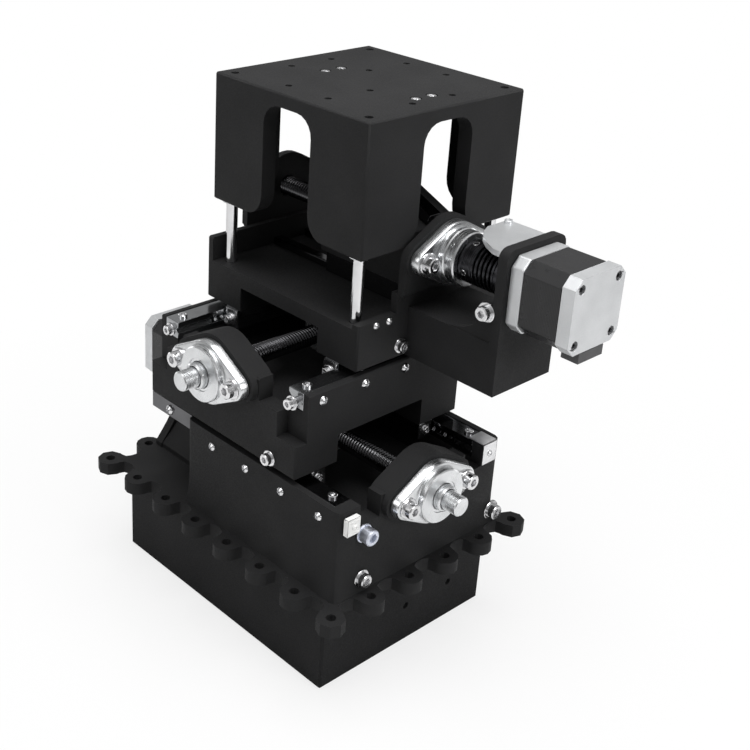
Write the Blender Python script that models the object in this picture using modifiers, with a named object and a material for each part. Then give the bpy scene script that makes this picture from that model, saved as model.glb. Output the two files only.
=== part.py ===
"""Three-axis motorized positioner.

Three printed bodies ride on each other: the lower one stands on a base block, the
middle one slides along X, the upper one slides along Y and carries a wedge drive
that lifts the table. Every axis has a ball screw, two flanged bearings, a slit
coupling and a square stepping motor on a bracket at the end of its body.
"""
import math

import bmesh
import bpy
from mathutils import Matrix, Vector

for old in list(bpy.data.objects):
    bpy.data.objects.remove(old, do_unlink=True)

# Sizes in metres
MM = 0.001
GAP = 0.3 * MM
SLIDE_GAP = 0.5 * MM
BITE = 1.0 * MM
PAST = 10.0 * MM
SHARP_ANGLE = math.radians(35.0)

# Base block and lug plate
BASE_X = 184.0 * MM
BASE_Y = 136.0 * MM
BASE_Z = 54.0 * MM
BASE_EDGE = 1.2 * MM
BASE_HOLE = 2.1 * MM
BASE_HOLE_SIDE = 37.0 * MM
BASE_HOLE_HIGH = 26.0 * MM
BASE_HOLE_DEEP = 2.0 * MM
PLATE_THICK = 8.0 * MM
LUG_SPAN_X = 208.0 * MM
LUG_SPAN_Y = 151.0 * MM
LUG_CENTRE_X = 30.0 * MM
LUG_STEP = 30.0 * MM
LUG_RADIUS = 8.2 * MM
LUG_HOLE = 3.0 * MM
LUG_OUT = 5.5 * MM
LUG_FILLET = 4.0 * MM
LUG_BOW = 0.5 * MM
LUGS_X = round(LUG_SPAN_X / LUG_STEP) + 1
LUGS_Y = round(LUG_SPAN_Y / LUG_STEP) + 1
LUG_PITCH = LUG_SPAN_X / (LUGS_X - 1)

# Bodies of the three axes
BODY_HALF = 66.0 * MM
BODY_CORNER = 4.0 * MM
UPPER_NARROWER = 2.5 * MM
UPPER_HALF_Y = BODY_HALF - UPPER_NARROWER
END_WALL = 10.0 * MM
SKIN = 4.0 * MM
RAIL_WIDE = 12.0 * MM
TROUGH_HALF = BODY_HALF - SKIN - RAIL_WIDE
LOWER_AXIS_RISE = 49.7 * MM
LOWER_FLOOR = 20.0 * MM
MIDDLE_AXIS_RISE = 43.0 * MM
MIDDLE_FLOOR = 24.0 * MM
UPPER_AXIS_RISE = 59.5 * MM
UPPER_FLOOR = 25.0 * MM
UPPER_WALL_TOP = 40.0 * MM
UPPER_WALL = 5.0 * MM
UPPER_LIP = 3.0 * MM
WALL_ABOVE_AXIS = 7.0 * MM
BODY_CLEARANCE = 3.0 * MM
TUNNEL_HALF = 34.0 * MM
MIDDLE_TUNNEL_ROOF = 18.0 * MM
UPPER_TUNNEL_ROOF = 16.0 * MM
NOTCH_MARGIN = 0.5 * MM
NOTCH_DROP = 2.5 * MM
MIDDLE_CORNER = 8.0 * MM
MIDDLE_SHOULDER = 22.0 * MM
GROOVES = (-17.9 * MM, 8.2 * MM)
GROOVE_WIDE = 1.2 * MM
GROOVE_DEEP = 1.0 * MM
SKIRT_OUT = 2.4 * MM
SKIRT_HIGH = 20.0 * MM
PAD_THICK = 4.3 * MM
EDGE = 1.0 * MM

# Where the slides stand in the photograph, from the middle of the body below
LOWER_SHIFT_X = 31.0 * MM
MIDDLE_AT_REST = -36.0 * MM
UPPER_AT_REST = 40.0 * MM

# Guide rails
RAIL_HIGH = 10.5 * MM
RAIL_INSET = 8.0 * MM
RAIL_FAR = BODY_HALF - RAIL_INSET
RAIL_OVERHANG = 41.0 * MM
RAIL_NEAR = BODY_HALF + RAIL_OVERHANG
MOVING_RAIL_WIDE = 11.0 * MM
MOVING_RAIL_INSET = 5.0 * MM
MOVING_RAIL_HALF = BODY_HALF - MOVING_RAIL_INSET
RAIL_GROOVE = 2.2 * MM
SLIDE_RAIL_DROP = BODY_CLEARANCE + GAP + RAIL_HIGH / 2

# Ball screw, bearings and coupling
SCREW_DIA = 12.0 * MM
SCREW_STUB = 24.0 * MM
BORE_CLEAR = 1.0 * MM
FLANGE_PITCH = 24.0 * MM
FLANGE_END = 7.5 * MM
FLANGE_MID = 19.0 * MM
FLANGE_THICK = 6.0 * MM
HUB_RADIUS = 14.5 * MM
HUB_FOOT = 16.24 * MM
HUB_LONG = 4.5 * MM
RING_RADIUS = 10.0 * MM
RING_PROUD = 4.0 * MM
PAD_MARGIN = 2.5 * MM
FLANGE_HOLE = 3.4 * MM
COUPLING_RADIUS = 12.5 * MM
COUPLING_LONG = 30.0 * MM
COUPLING_ROOM = 2.9 * MM
COUPLING_CLAMP = 7.8 * MM
COUPLING_EDGE = 0.8 * MM
SLOT_PITCH = 4.8 * MM
SLOT_WIDE = 1.6 * MM
SLOT_DEEP = 2.4 * MM
NUT_HALF = 14.0 * MM
NUT_LONG = 26.0 * MM
NUT_BACK = 15.0 * MM
NUT_CHAMFER = 6.0 * MM
NUT_SHOULDER = 4.0 * MM
FLANGE_AT = BODY_HALF + PAD_THICK + GAP
COUPLING_START = FLANGE_AT + FLANGE_THICK + HUB_LONG + RING_PROUD + COUPLING_ROOM

# Motors
MOTOR_FACE = 42.3 * MM
MOTOR_PLATE = 6.0 * MM
PLATE_ROOM = 6.5 * MM
BRACKET_OUT = COUPLING_START + COUPLING_LONG + PLATE_ROOM + MOTOR_PLATE
MOTOR_FRONT = 8.0 * MM
MOTOR_CORE = 24.0 * MM
MOTOR_CAP = 8.0 * MM
MOTOR_CHAMFER = 5.0 * MM
CORE_CHAMFER = 6.5 * MM
MOTOR_SHAFT = 5.0 * MM
PILOT_RADIUS = 11.0 * MM
PILOT_LONG = 2.0 * MM
MOTOR_HOLE_PITCH = 31.0 * MM
SOCKET_WIDE = 21.0 * MM
SOCKET_HIGH = 6.0 * MM
SOCKET_FORWARD = 3.0 * MM
SOCKET_WALL = 1.2 * MM
POCKET_RADIUS = 2.8 * MM
POCKET_DEEP = 2.5 * MM
BRACKET_HALF = 24.5 * MM
BRACKET_CORNER = 6.0 * MM
BRACKET_HOLE = 1.7 * MM
BRACKET_FLARE = 0.45
FOOT_EDGE = 4.0 * MM
GUSSET_THICK = 4.5 * MM
FOOT_HALF = 42.0 * MM
ARM_STEP = 0.8 * MM
ARM_DROP = 22.0 * MM
GUSSET_RISE = 28.0 * MM
UPPER_ARM_DROP = 29.5 * MM
UPPER_GUSSET_RISE = 31.0 * MM
PLATE_FOOT = 14.0 * MM

# End switch
SWITCH_WIDE = 10.0 * MM
SWITCH_HIGH = 11.0 * MM
SWITCH_PROUD = 4.0 * MM
SWITCH_INSET = 3.0 * MM
SWITCH_DROP = 7.0 * MM
SWITCH_EDGE = 0.5 * MM

# Table, guide pins and wedge
TABLE_INSET_X = 2.8 * MM
TABLE_INSET_Y = 1.3 * MM
TABLE_X = 2 * (BODY_HALF - TABLE_INSET_X)
TABLE_Y = 2 * (UPPER_HALF_Y - TABLE_INSET_Y)
TABLE_Z = 77.0 * MM
TABLE_TOP = 8.0 * MM
TABLE_WALL = 10.0 * MM
COLUMN = 24.0 * MM
TABLE_RISE = 5.1 * MM
ARCH_HALF = 19.5 * MM
ARCH_RADIUS = 12.0 * MM
ARCH_FOOT = 14.0 * MM
TOP_HOLE = 2.2 * MM
TOP_HOLE_DEEP = 5.0 * MM
TOP_HOLE_SIDE = 16.0 * MM
TOP_HOLE_INSET_X = 14.2 * MM
TOP_HOLE_INSET_Y = 14.7 * MM
MIDDLE_HOLE_SIDE = 16.5 * MM
CORNER_HOLE = 2.6 * MM
CORNER_HOLE_DEEP = 2.0 * MM
TABLE_HEAD = 3.2 * MM
TABLE_HEAD_DEEP = 3.0 * MM
TABLE_HEADS_X = (-30.0 * MM, 42.5 * MM)
TABLE_HEADS_SIDE = 6.4 * MM
PIN_DIA = 7.0 * MM
PIN_INSET = 11.5 * MM
PIN_POS = BODY_HALF - PIN_INSET
PIN_LONG = 86.0 * MM
PIN_SEAT = 6.0 * MM
LIFT_DOWN = 15.6 * MM
BUSH_RADIUS = 6.0 * MM
BUSH_LONG = 20.0 * MM
BUSH_PROUD = 1.2 * MM
WEDGE_ANGLE = math.radians(22.3)
WEDGE_ROOM = 3.0 * MM
WEDGE_LONG = 70.0 * MM
WEDGE_LOW = BODY_HALF - UPPER_WALL - WEDGE_ROOM
WEDGE_HIGH = WEDGE_LOW - WEDGE_LONG
WEDGE_NUT_RADIUS = 11.0 * MM
WEDGE_NUT_LONG = 6.0 * MM
WEDGE_HALF = 20.0 * MM
WEDGE_TOP = 34.5 * MM
FLOOR_RAIL_WIDE = 7.0 * MM
FLOOR_RAIL_HIGH = 5.0 * MM
FLOOR_RAIL_EDGE = 0.5 * MM
FLOOR_RAIL_END = 2.0 * MM
FLOOR_RAIL_HALF = BODY_HALF - UPPER_WALL - FLOOR_RAIL_END
FLOOR_RAIL_POS = 13.0 * MM
FLOOR_CAR_HIGH = 7.5 * MM
FLOOR_CAR_WIDE = 12.0 * MM
FLOOR_CAR_INSET = 4.0 * MM
INCLINE_RAIL_WIDE = 9.0 * MM
INCLINE_RAIL_HIGH = 6.5 * MM
INCLINE_RAIL_END = 2.0 * MM
INCLINE_CAR_WIDE = 20.0 * MM
INCLINE_CAR_LONG = 28.0 * MM
INCLINE_CAR_TOP = 10.0 * MM
INCLINE_CAR_LIFT = 2.0 * MM
BLOCK_FROM = -36.0 * MM
BLOCK_TO = 34.0 * MM
BLOCK_HALF = 9.5 * MM
CAR_AT = 6.0 * MM

# Heights that follow
LOWER_AXIS = BASE_Z + GAP + PLATE_THICK + LOWER_AXIS_RISE
MIDDLE_BOTTOM = LOWER_AXIS + WALL_ABOVE_AXIS + BODY_CLEARANCE
MIDDLE_AXIS = MIDDLE_BOTTOM + MIDDLE_AXIS_RISE
UPPER_BOTTOM = MIDDLE_AXIS + WALL_ABOVE_AXIS + BODY_CLEARANCE
UPPER_AXIS = UPPER_BOTTOM + UPPER_AXIS_RISE
MOTOR_AT = BRACKET_OUT + GAP

parts = bpy.data.collections.new("motorized_positioner")
bpy.context.scene.collection.children.link(parts)
cutters = bpy.data.collections.new("cutters")
bpy.context.scene.collection.children.link(cutters)


def make_material(name, colour, roughness, metallic):
    material = bpy.data.materials.new(name)
    material.use_nodes = True
    shader = material.node_tree.nodes["Principled BSDF"]
    shader.inputs["Base Color"].default_value = (*colour, 1.0)
    shader.inputs["Roughness"].default_value = roughness
    shader.inputs["Metallic"].default_value = metallic
    return material


PRINTED = ((0.016, 0.016, 0.017), 0.55, 0.0)
STEEL = ((0.62, 0.63, 0.64), 0.22, 1.0)
ALLOY = ((0.66, 0.67, 0.68), 0.35, 1.0)
BLACK_CORE = ((0.02, 0.02, 0.021), 0.4, 0.0)
DARK_METAL = ((0.035, 0.035, 0.037), 0.3, 0.8)
PLASTIC = ((0.05, 0.05, 0.052), 0.5, 0.0)
WHITE_PLASTIC = ((0.75, 0.75, 0.74), 0.45, 0.0)


def shading_group():
    """Nodes that shade a mesh smooth but keep the edges over SHARP_ANGLE sharp."""
    group = bpy.data.node_groups.new("smooth_by_angle", "GeometryNodeTree")
    for way in ("INPUT", "OUTPUT"):
        group.interface.new_socket("Geometry", in_out=way, socket_type="NodeSocketGeometry")
    start = group.nodes.new("NodeGroupInput")
    faces = group.nodes.new("GeometryNodeSetShadeSmooth")
    edges = group.nodes.new("GeometryNodeSetShadeSmooth")
    edges.domain = "EDGE"
    edges.inputs["Shade Smooth"].default_value = False
    angle = group.nodes.new("GeometryNodeInputMeshEdgeAngle")
    steep = group.nodes.new("FunctionNodeCompare")
    steep.inputs["B"].default_value = SHARP_ANGLE
    end = group.nodes.new("NodeGroupOutput")
    group.links.new(angle.outputs["Unsigned Angle"], steep.inputs["A"])
    group.links.new(steep.outputs["Result"], edges.inputs["Selection"])
    group.links.new(start.outputs[0], faces.inputs["Geometry"])
    group.links.new(faces.outputs["Geometry"], edges.inputs["Geometry"])
    group.links.new(edges.outputs["Geometry"], end.inputs[0])
    return group


def shade_smooth_by_angle():
    group = shading_group()
    for obj in parts.objects:
        if obj.type == "MESH":
            obj.modifiers.new("smooth by angle", "NODES").node_group = group


def frame_empty(name, location, turn=0.0):
    empty = bpy.data.objects.new(name, None)
    empty.location = location
    empty.rotation_euler = (0.0, 0.0, turn)
    parts.objects.link(empty)
    return empty


def finish(name, mesh, look, frame, collection=parts):
    obj = bpy.data.objects.new(name, mesh)
    collection.objects.link(obj)
    obj.parent = frame
    if look:
        mesh.materials.append(make_material(name, *look))
    if collection is cutters:
        obj.hide_render = True
        obj.display_type = "WIRE"
    return obj


def add_box(bm, low, high):
    middle = [(a + b) / 2 for a, b in zip(low, high)]
    size = [b - a for a, b in zip(low, high)]
    place = Matrix.Translation(middle) @ Matrix.Diagonal((*size, 1.0))
    bmesh.ops.create_cube(bm, size=1.0, matrix=place)


AXES = {
    "X": Matrix.Rotation(math.pi / 2, 4, "Y"),
    "Y": Matrix.Rotation(-math.pi / 2, 4, "X"),
    "Z": Matrix.Identity(4),
}


def add_cylinder(bm, start, axis, radius, length, segments=24, end_radius=None):
    """A cylinder or cone that starts at a point and runs along an axis."""
    turn = AXES[axis]
    middle = Vector(start) + turn @ Vector((0.0, 0.0, length / 2))
    bmesh.ops.create_cone(
        bm,
        cap_ends=True,
        segments=segments,
        radius1=radius,
        radius2=radius if end_radius is None else end_radius,
        depth=length,
        matrix=Matrix.Translation(middle) @ turn,
    )


def mesh_from(name, build):
    bm = bmesh.new()
    build(bm)
    mesh = bpy.data.meshes.new(name)
    bm.to_mesh(mesh)
    bm.free()
    return mesh


def outline_mesh(name, loops, thick, place):
    """Flat outlines, holes included, filled and given a thickness along their normal."""
    curve = bpy.data.curves.new(name, "CURVE")
    curve.dimensions = "2D"
    curve.fill_mode = "BOTH"
    curve.extrude = thick / 2
    for loop in loops:
        spline = curve.splines.new("POLY")
        spline.points.add(len(loop) - 1)
        for point, (u, v) in zip(spline.points, loop):
            point.co = (u, v, 0.0, 1.0)
        spline.use_cyclic_u = True
    obj = bpy.data.objects.new(name + "_outline", curve)
    cutters.objects.link(obj)
    bpy.context.view_layer.update()
    depsgraph = bpy.context.evaluated_depsgraph_get()
    mesh = bpy.data.meshes.new_from_object(obj.evaluated_get(depsgraph))
    bpy.data.objects.remove(obj, do_unlink=True)
    bpy.data.curves.remove(curve)
    bm = bmesh.new()
    bm.from_mesh(mesh)
    bmesh.ops.remove_doubles(bm, verts=bm.verts, dist=0.00001)
    bmesh.ops.dissolve_limit(bm, angle_limit=0.001, verts=bm.verts, edges=bm.edges)
    bmesh.ops.transform(bm, matrix=place, verts=bm.verts)
    bmesh.ops.recalc_face_normals(bm, faces=bm.faces)
    bm.to_mesh(mesh)
    bm.free()
    mesh.materials.clear()
    return mesh


# Outline planes: u and v of the outline to the body's own axes
ACROSS = Matrix(((0, 0, 1, 0), (1, 0, 0, 0), (0, 1, 0, 0), (0, 0, 0, 1)))
ALONG = Matrix(((1, 0, 0, 0), (0, 0, -1, 0), (0, 1, 0, 0), (0, 0, 0, 1)))
FLAT = Matrix.Identity(4)


def prism(name, loops, plane, low, high, look, frame, collection=parts):
    """Extrude an outline between two places on the plane's normal."""
    side = -1.0 if plane is ALONG else 1.0
    middle = side * (low + high) / 2
    place = plane @ Matrix.Translation((0.0, 0.0, middle))
    mesh = outline_mesh(name, loops, high - low, place)
    return finish(name, mesh, look, frame, collection)


def arc(centre, radius, start, end, count):
    """Points on an arc, angles in degrees."""
    points = []
    for step in range(count + 1):
        angle = math.radians(start + (end - start) * step / count)
        u = centre[0] + radius * math.cos(angle)
        v = centre[1] + radius * math.sin(angle)
        points.append((u, v))
    return points


def circle(centre, radius, count=16):
    return arc(centre, radius, 0.0, 360.0 * (count - 1) / count, count - 1)


def cut(target, tool, operation="DIFFERENCE"):
    modifier = target.modifiers.new(tool.name, "BOOLEAN")
    modifier.operation = operation
    modifier.object = tool
    return target


def tool_box(name, frame, *boxes):
    def build(bm):
        for low, high in boxes:
            add_box(bm, low, high)
    return finish(name, mesh_from(name, build), None, frame, cutters)


def round_edges(obj, width, segments=1, angle=50.0):
    modifier = obj.modifiers.new("rounded edges", "BEVEL")
    modifier.width = width
    modifier.segments = segments
    modifier.limit_method = "ANGLE"
    modifier.angle_limit = math.radians(angle)
    modifier.use_clamp_overlap = True


def turned(name, profile, segments, look, frame, at):
    """A ring turned round the screw's axis from a closed profile of radius and length."""
    mesh = bpy.data.meshes.new(name)
    points = [(radius, 0.0, along) for radius, along in profile]
    count = len(points)
    edges = [(i, (i + 1) % count) for i in range(count)]
    mesh.from_pydata(points, edges, [])
    obj = finish(name, mesh, look, frame)
    obj.rotation_euler = (0.0, math.pi / 2, 0.0)
    obj.location = (at, 0.0, 0.0)
    screw = obj.modifiers.new("turned", "SCREW")
    screw.axis = "Z"
    screw.steps = segments
    screw.render_steps = segments
    screw.use_merge_vertices = True
    screw.merge_threshold = 0.00001
    return obj


def flange_outline(middle, end, pitch):
    """Two end circles and a larger middle circle inside one tight band."""
    lean = math.degrees(math.acos((middle - end) / pitch))
    points = arc((pitch, 0.0), end, -lean, lean, 5)
    points += arc((0.0, 0.0), middle, lean, 180.0 - lean, 5)
    points += arc((-pitch, 0.0), end, 180.0 - lean, 180.0 + lean, 5)
    points += arc((0.0, 0.0), middle, 180.0 + lean, 360.0 - lean, 5)
    return points


def chamfered_square(half, chamfer):
    inner = half - chamfer
    return [
        (half, -inner), (half, inner), (inner, half), (-inner, half),
        (-half, inner), (-half, -inner), (-inner, -half), (inner, -half),
    ]


def bearing(name, side, frame):
    """Flanged housing on the end of a body; side is -1 at the far end, 1 at the motor end."""
    face = side * FLANGE_AT
    outer = side * (FLANGE_AT + FLANGE_THICK)
    holes = [circle((way * FLANGE_PITCH, 0.0), FLANGE_HOLE, 8) for way in (-1, 1)]
    loops = [flange_outline(FLANGE_MID, FLANGE_END, FLANGE_PITCH), *holes]
    body = prism(name, loops, ACROSS, min(face, outer), max(face, outer), ALLOY, frame)

    def hub(bm):
        reach = FLANGE_THICK + HUB_LONG
        start = face if side > 0 else face - reach
        first, second = (HUB_FOOT, HUB_RADIUS) if side > 0 else (HUB_RADIUS, HUB_FOOT)
        add_cylinder(bm, (start, 0.0, 0.0), "X", first, reach, 16, second)

    def bore(bm):
        reach = FLANGE_THICK + HUB_LONG + PAST
        start = face - (PAST if side > 0 else reach)
        add_cylinder(bm, (start, 0.0, 0.0), "X", RING_RADIUS + GAP, reach + PAST, 16)
    cut(body, finish(name + "_hub", mesh_from(name, hub), None, frame, cutters), "UNION")
    cut(body, finish(name + "_bore", mesh_from(name, bore), None, frame, cutters))
    return body


def ball_screw(name, frame):
    """The screw, its journal in the coupling and the two bearing rings clamped on it."""
    reach = FLANGE_THICK + HUB_LONG + RING_PROUD

    def shank(bm):
        start = -FLANGE_AT - SCREW_STUB
        end = COUPLING_START + COUPLING_LONG / 2 - GAP
        add_cylinder(bm, (start, 0.0, 0.0), "X", SCREW_DIA / 2, end - start, 16)

    def ring(bm):
        for start in (-FLANGE_AT - reach, FLANGE_AT):
            add_cylinder(bm, (start, 0.0, 0.0), "X", RING_RADIUS, reach, 16)
    obj = finish(name, mesh_from(name, shank), STEEL, frame)
    rings = finish(name + "_rings", mesh_from(name, ring), None, frame, cutters)
    return cut(obj, rings, "UNION")


def coupling(name, frame):
    """A slit coupling: a thick sleeve with turned slots between its two clamps."""
    middle_part = COUPLING_LONG - 2 * COUPLING_CLAMP
    count = round(middle_part / SLOT_PITCH)
    pitch = middle_part / count
    large = SCREW_DIA / 2 + GAP
    small = MOTOR_SHAFT / 2 + GAP
    step = COUPLING_LONG / 2
    outer = [(COUPLING_RADIUS - COUPLING_EDGE, COUPLING_LONG)]
    outer.append((COUPLING_RADIUS, COUPLING_LONG - COUPLING_EDGE))
    for index in range(count):
        top = COUPLING_LONG - COUPLING_CLAMP - index * pitch
        outer.append((COUPLING_RADIUS, top))
        outer.append((COUPLING_RADIUS - SLOT_DEEP, top))
        outer.append((COUPLING_RADIUS - SLOT_DEEP, top - SLOT_WIDE))
        outer.append((COUPLING_RADIUS, top - SLOT_WIDE))
    outer.append((COUPLING_RADIUS, COUPLING_EDGE))
    outer.append((COUPLING_RADIUS - COUPLING_EDGE, 0.0))
    inner = [(large, 0.0), (large, step), (small, step), (small, COUPLING_LONG)]
    return turned(name, outer + inner, 16, DARK_METAL, frame, COUPLING_START)


def motor(prefix, frame):
    """Front flange, black stack, end cap, socket and shaft of a square stepping motor."""
    half = MOTOR_FACE / 2
    core_at = MOTOR_AT + MOTOR_FRONT + GAP
    cap_at = core_at + MOTOR_CORE + GAP
    square = chamfered_square(half, MOTOR_CHAMFER)
    front = prism(prefix + "_motor_flange", [square], ACROSS, MOTOR_AT,
                  MOTOR_AT + MOTOR_FRONT, ALLOY, frame)

    def pilot(bm):
        start = MOTOR_AT - PILOT_LONG
        add_cylinder(bm, (start, 0.0, 0.0), "X", PILOT_RADIUS, PILOT_LONG + BITE, 16)

    def shaft_bore(bm):
        start = MOTOR_AT - 2 * PILOT_LONG
        length = 3 * PILOT_LONG + MOTOR_FRONT
        add_cylinder(bm, (start, 0.0, 0.0), "X", MOTOR_SHAFT / 2 + GAP, length, 12)
    cut(front, finish(prefix + "_pilot", mesh_from("pilot", pilot), None, frame, cutters),
        "UNION")
    cut(front, finish(prefix + "_shaft_bore", mesh_from("bore", shaft_bore), None, frame,
                      cutters))
    prism(prefix + "_motor_core", [chamfered_square(half, CORE_CHAMFER)], ACROSS,
          core_at, core_at + MOTOR_CORE, BLACK_CORE, frame)
    cap = prism(prefix + "_motor_cap", [square], ACROSS, cap_at, cap_at + MOTOR_CAP,
                ALLOY, frame)

    def screw_pockets(bm):
        for a in (-1, 1):
            for b in (-1, 1):
                place = (cap_at + MOTOR_CAP - POCKET_DEEP, a * MOTOR_HOLE_PITCH / 2,
                         b * MOTOR_HOLE_PITCH / 2)
                add_cylinder(bm, place, "X", POCKET_RADIUS, 2 * POCKET_DEEP, 8)
    cut(cap, finish(prefix + "_pockets", mesh_from("pockets", screw_pockets), None, frame,
                    cutters))
    low = (cap_at - SOCKET_FORWARD, -SOCKET_WIDE / 2, -half - GAP - SOCKET_HIGH)
    high = (cap_at + MOTOR_CAP, SOCKET_WIDE / 2, -half - GAP)

    def socket(bm):
        add_box(bm, low, high)
    body = finish(prefix + "_motor_socket", mesh_from("socket", socket), PLASTIC, frame)
    room_low = (low[0] + SOCKET_WALL, low[1] + SOCKET_WALL, low[2] - SOCKET_WALL)
    room_high = (high[0] - SOCKET_WALL, high[1] - SOCKET_WALL, high[2] - SOCKET_WALL)
    cut(body, tool_box(prefix + "_socket_room", frame, (room_low, room_high)))

    def shaft(bm):
        start = COUPLING_START + COUPLING_LONG / 2 + GAP
        length = core_at - GAP - start
        add_cylinder(bm, (start, 0.0, 0.0), "X", MOTOR_SHAFT / 2, length, 12)
    finish(prefix + "_motor_shaft", mesh_from("shaft", shaft), STEEL, frame)


def bracket_outline(bottom, foot_half):
    """The motor's end plate: rounded top corners, sides that spread into the foot."""
    top = BRACKET_HALF
    radius = BRACKET_CORNER
    rise = BRACKET_FLARE * (top - bottom)
    points = [(foot_half, bottom)]
    for step in range(7):
        share = step / 6
        u = foot_half + (BRACKET_HALF - foot_half) * math.sin(share * math.pi / 2)
        points.append((u, bottom + FOOT_EDGE + rise * share))
    points += arc((BRACKET_HALF - radius, top - radius), radius, 0.0, 90.0, 4)
    mirrored = [(-u, v) for u, v in reversed(points)]
    return points + mirrored


def arm_outline(bottom, foot_half, top):
    """Section of the arm that carries the motor plate, wide at the foot."""
    points = [(foot_half, bottom)]
    high = top - bottom - FOOT_EDGE
    for step in range(7):
        share = step / 6
        u = foot_half + (BRACKET_HALF - foot_half) * math.sin(share * math.pi / 2)
        points.append((u, bottom + FOOT_EDGE + high * share))
    mirrored = [(-u, v) for u, v in reversed(points)]
    return points + mirrored


def motor_arm(prefix, body, frame, bottom, foot_half, arm_top, gusset_rise):
    """Join the arm, the motor plate and two gussets to a body."""
    holes = [circle((0.0, 0.0), PILOT_RADIUS + GAP, 16)]
    for a in (-1, 1):
        for b in (-1, 1):
            spot = (a * MOTOR_HOLE_PITCH / 2, b * MOTOR_HOLE_PITCH / 2)
            holes.append(circle(spot, BRACKET_HOLE, 8))
    inner = BRACKET_OUT - MOTOR_PLATE
    plate = prism(prefix + "_bracket", [bracket_outline(bottom, foot_half), *holes],
                  ACROSS, inner, BRACKET_OUT, None, frame, cutters)
    arm_foot = foot_half - ARM_STEP if foot_half > BRACKET_HALF else foot_half
    arm = prism(prefix + "_arm", [arm_outline(bottom, arm_foot, arm_top)], ACROSS,
                BODY_HALF - END_WALL / 2, inner + BITE, None, frame, cutters)
    cut(body, arm, "UNION")
    cut(body, plate, "UNION")
    foot = arm_top - BITE
    corner = (inner - gusset_rise, arm_top + gusset_rise)
    side = [(inner + BITE, corner[1]), (inner + BITE, foot), (corner[0], foot)]
    side += arc(corner, gusset_rise, -90.0, 0.0, 8)
    for way in (-1, 1):
        edge = BRACKET_HALF - EDGE / 2
        low = min(way * edge, way * (edge - GUSSET_THICK))
        gusset = prism(prefix + "_gusset_%d" % way, [side], ALONG, low,
                       low + GUSSET_THICK, None, frame, cutters)
        cut(body, gusset, "UNION")


def end_pads(prefix, body, frame, deep):
    """Raised seats for the two bearings, and the bore for the screw."""
    outline = flange_outline(FLANGE_MID + PAD_MARGIN, FLANGE_END + PAD_MARGIN,
                             FLANGE_PITCH)
    for side, label in ((-1, "far"), (1, "near")):
        low = side * (BODY_HALF - deep)
        high = side * (BODY_HALF + PAD_THICK)
        pad = prism(prefix + "_pad_" + label, [outline], ACROSS, min(low, high),
                    max(low, high), None, frame, cutters)
        cut(body, pad, "UNION")

    def bore(bm):
        reach = BODY_HALF + PAD_THICK + PAST
        radius = SCREW_DIA / 2 + BORE_CLEAR
        add_cylinder(bm, (-reach, 0.0, 0.0), "X", radius, 2 * reach, 16)
    cut(body, finish(prefix + "_screw_bore", mesh_from("bore", bore), None, frame,
                     cutters))


def rail_section(width, side, top):
    """A guide rail's section with a vee groove on the side that faces its partner."""
    foot = -RAIL_HIGH / 2
    edge = width if side > 0 else 0.0
    back = width - edge
    floor = edge - side * RAIL_GROOVE
    return [(back, foot), (edge, foot), (edge, -RAIL_GROOVE), (floor, 0.0),
            (edge, RAIL_GROOVE), (edge, top), (back, top)]


SIDES = ((-1, "right"), (1, "left"))


def fixed_rails(prefix, frame):
    """Two rails in the rebates of a body, bolted through its side walls."""
    centre = WALL_ABOVE_AXIS - GAP - RAIL_HIGH / 2
    for way, label in SIDES:
        start = TROUGH_HALF if way > 0 else -TROUGH_HALF - RAIL_WIDE + GAP
        section = [(start + u, centre + v)
                   for u, v in rail_section(RAIL_WIDE - GAP, -way, RAIL_HIGH / 2)]
        prism(prefix + "_rail_" + label, [section], ACROSS, -RAIL_FAR, RAIL_NEAR, STEEL,
              frame)


def moving_rails(prefix, frame):
    """Two rails below a sliding body, inside the fixed ones."""
    outer = TROUGH_HALF - SLIDE_GAP
    centre = -SLIDE_RAIL_DROP
    for way, label in SIDES:
        start = outer - MOVING_RAIL_WIDE if way > 0 else -outer
        section = [(start + u, centre + v)
                   for u, v in rail_section(MOVING_RAIL_WIDE, way, SLIDE_RAIL_DROP - GAP)]
        prism(prefix + "_slider_" + label, [section], ACROSS, -MOVING_RAIL_HALF,
              MOVING_RAIL_HALF, STEEL, frame)


def lug_places():
    """Each lug's place with the outward directions of the plate's edge before and after it."""
    half_x = LUG_SPAN_X / 2
    half_y = LUG_SPAN_Y / 2
    corners = [(-half_x, -half_y), (half_x, -half_y), (half_x, half_y), (-half_x, half_y)]
    counts = [LUGS_X, LUGS_Y, LUGS_X, LUGS_Y]
    places = []
    for side in range(4):
        start = corners[side]
        end = corners[(side + 1) % 4]
        facing = 90.0 * side - 90.0
        for index in range(counts[side] - 1):
            share = index / (counts[side] - 1)
            u = start[0] + (end[0] - start[0]) * share + LUG_CENTRE_X
            v = start[1] + (end[1] - start[1]) * share
            before = facing - 90.0 if index == 0 else facing
            places.append((u, v, before, facing))
    return places


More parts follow.
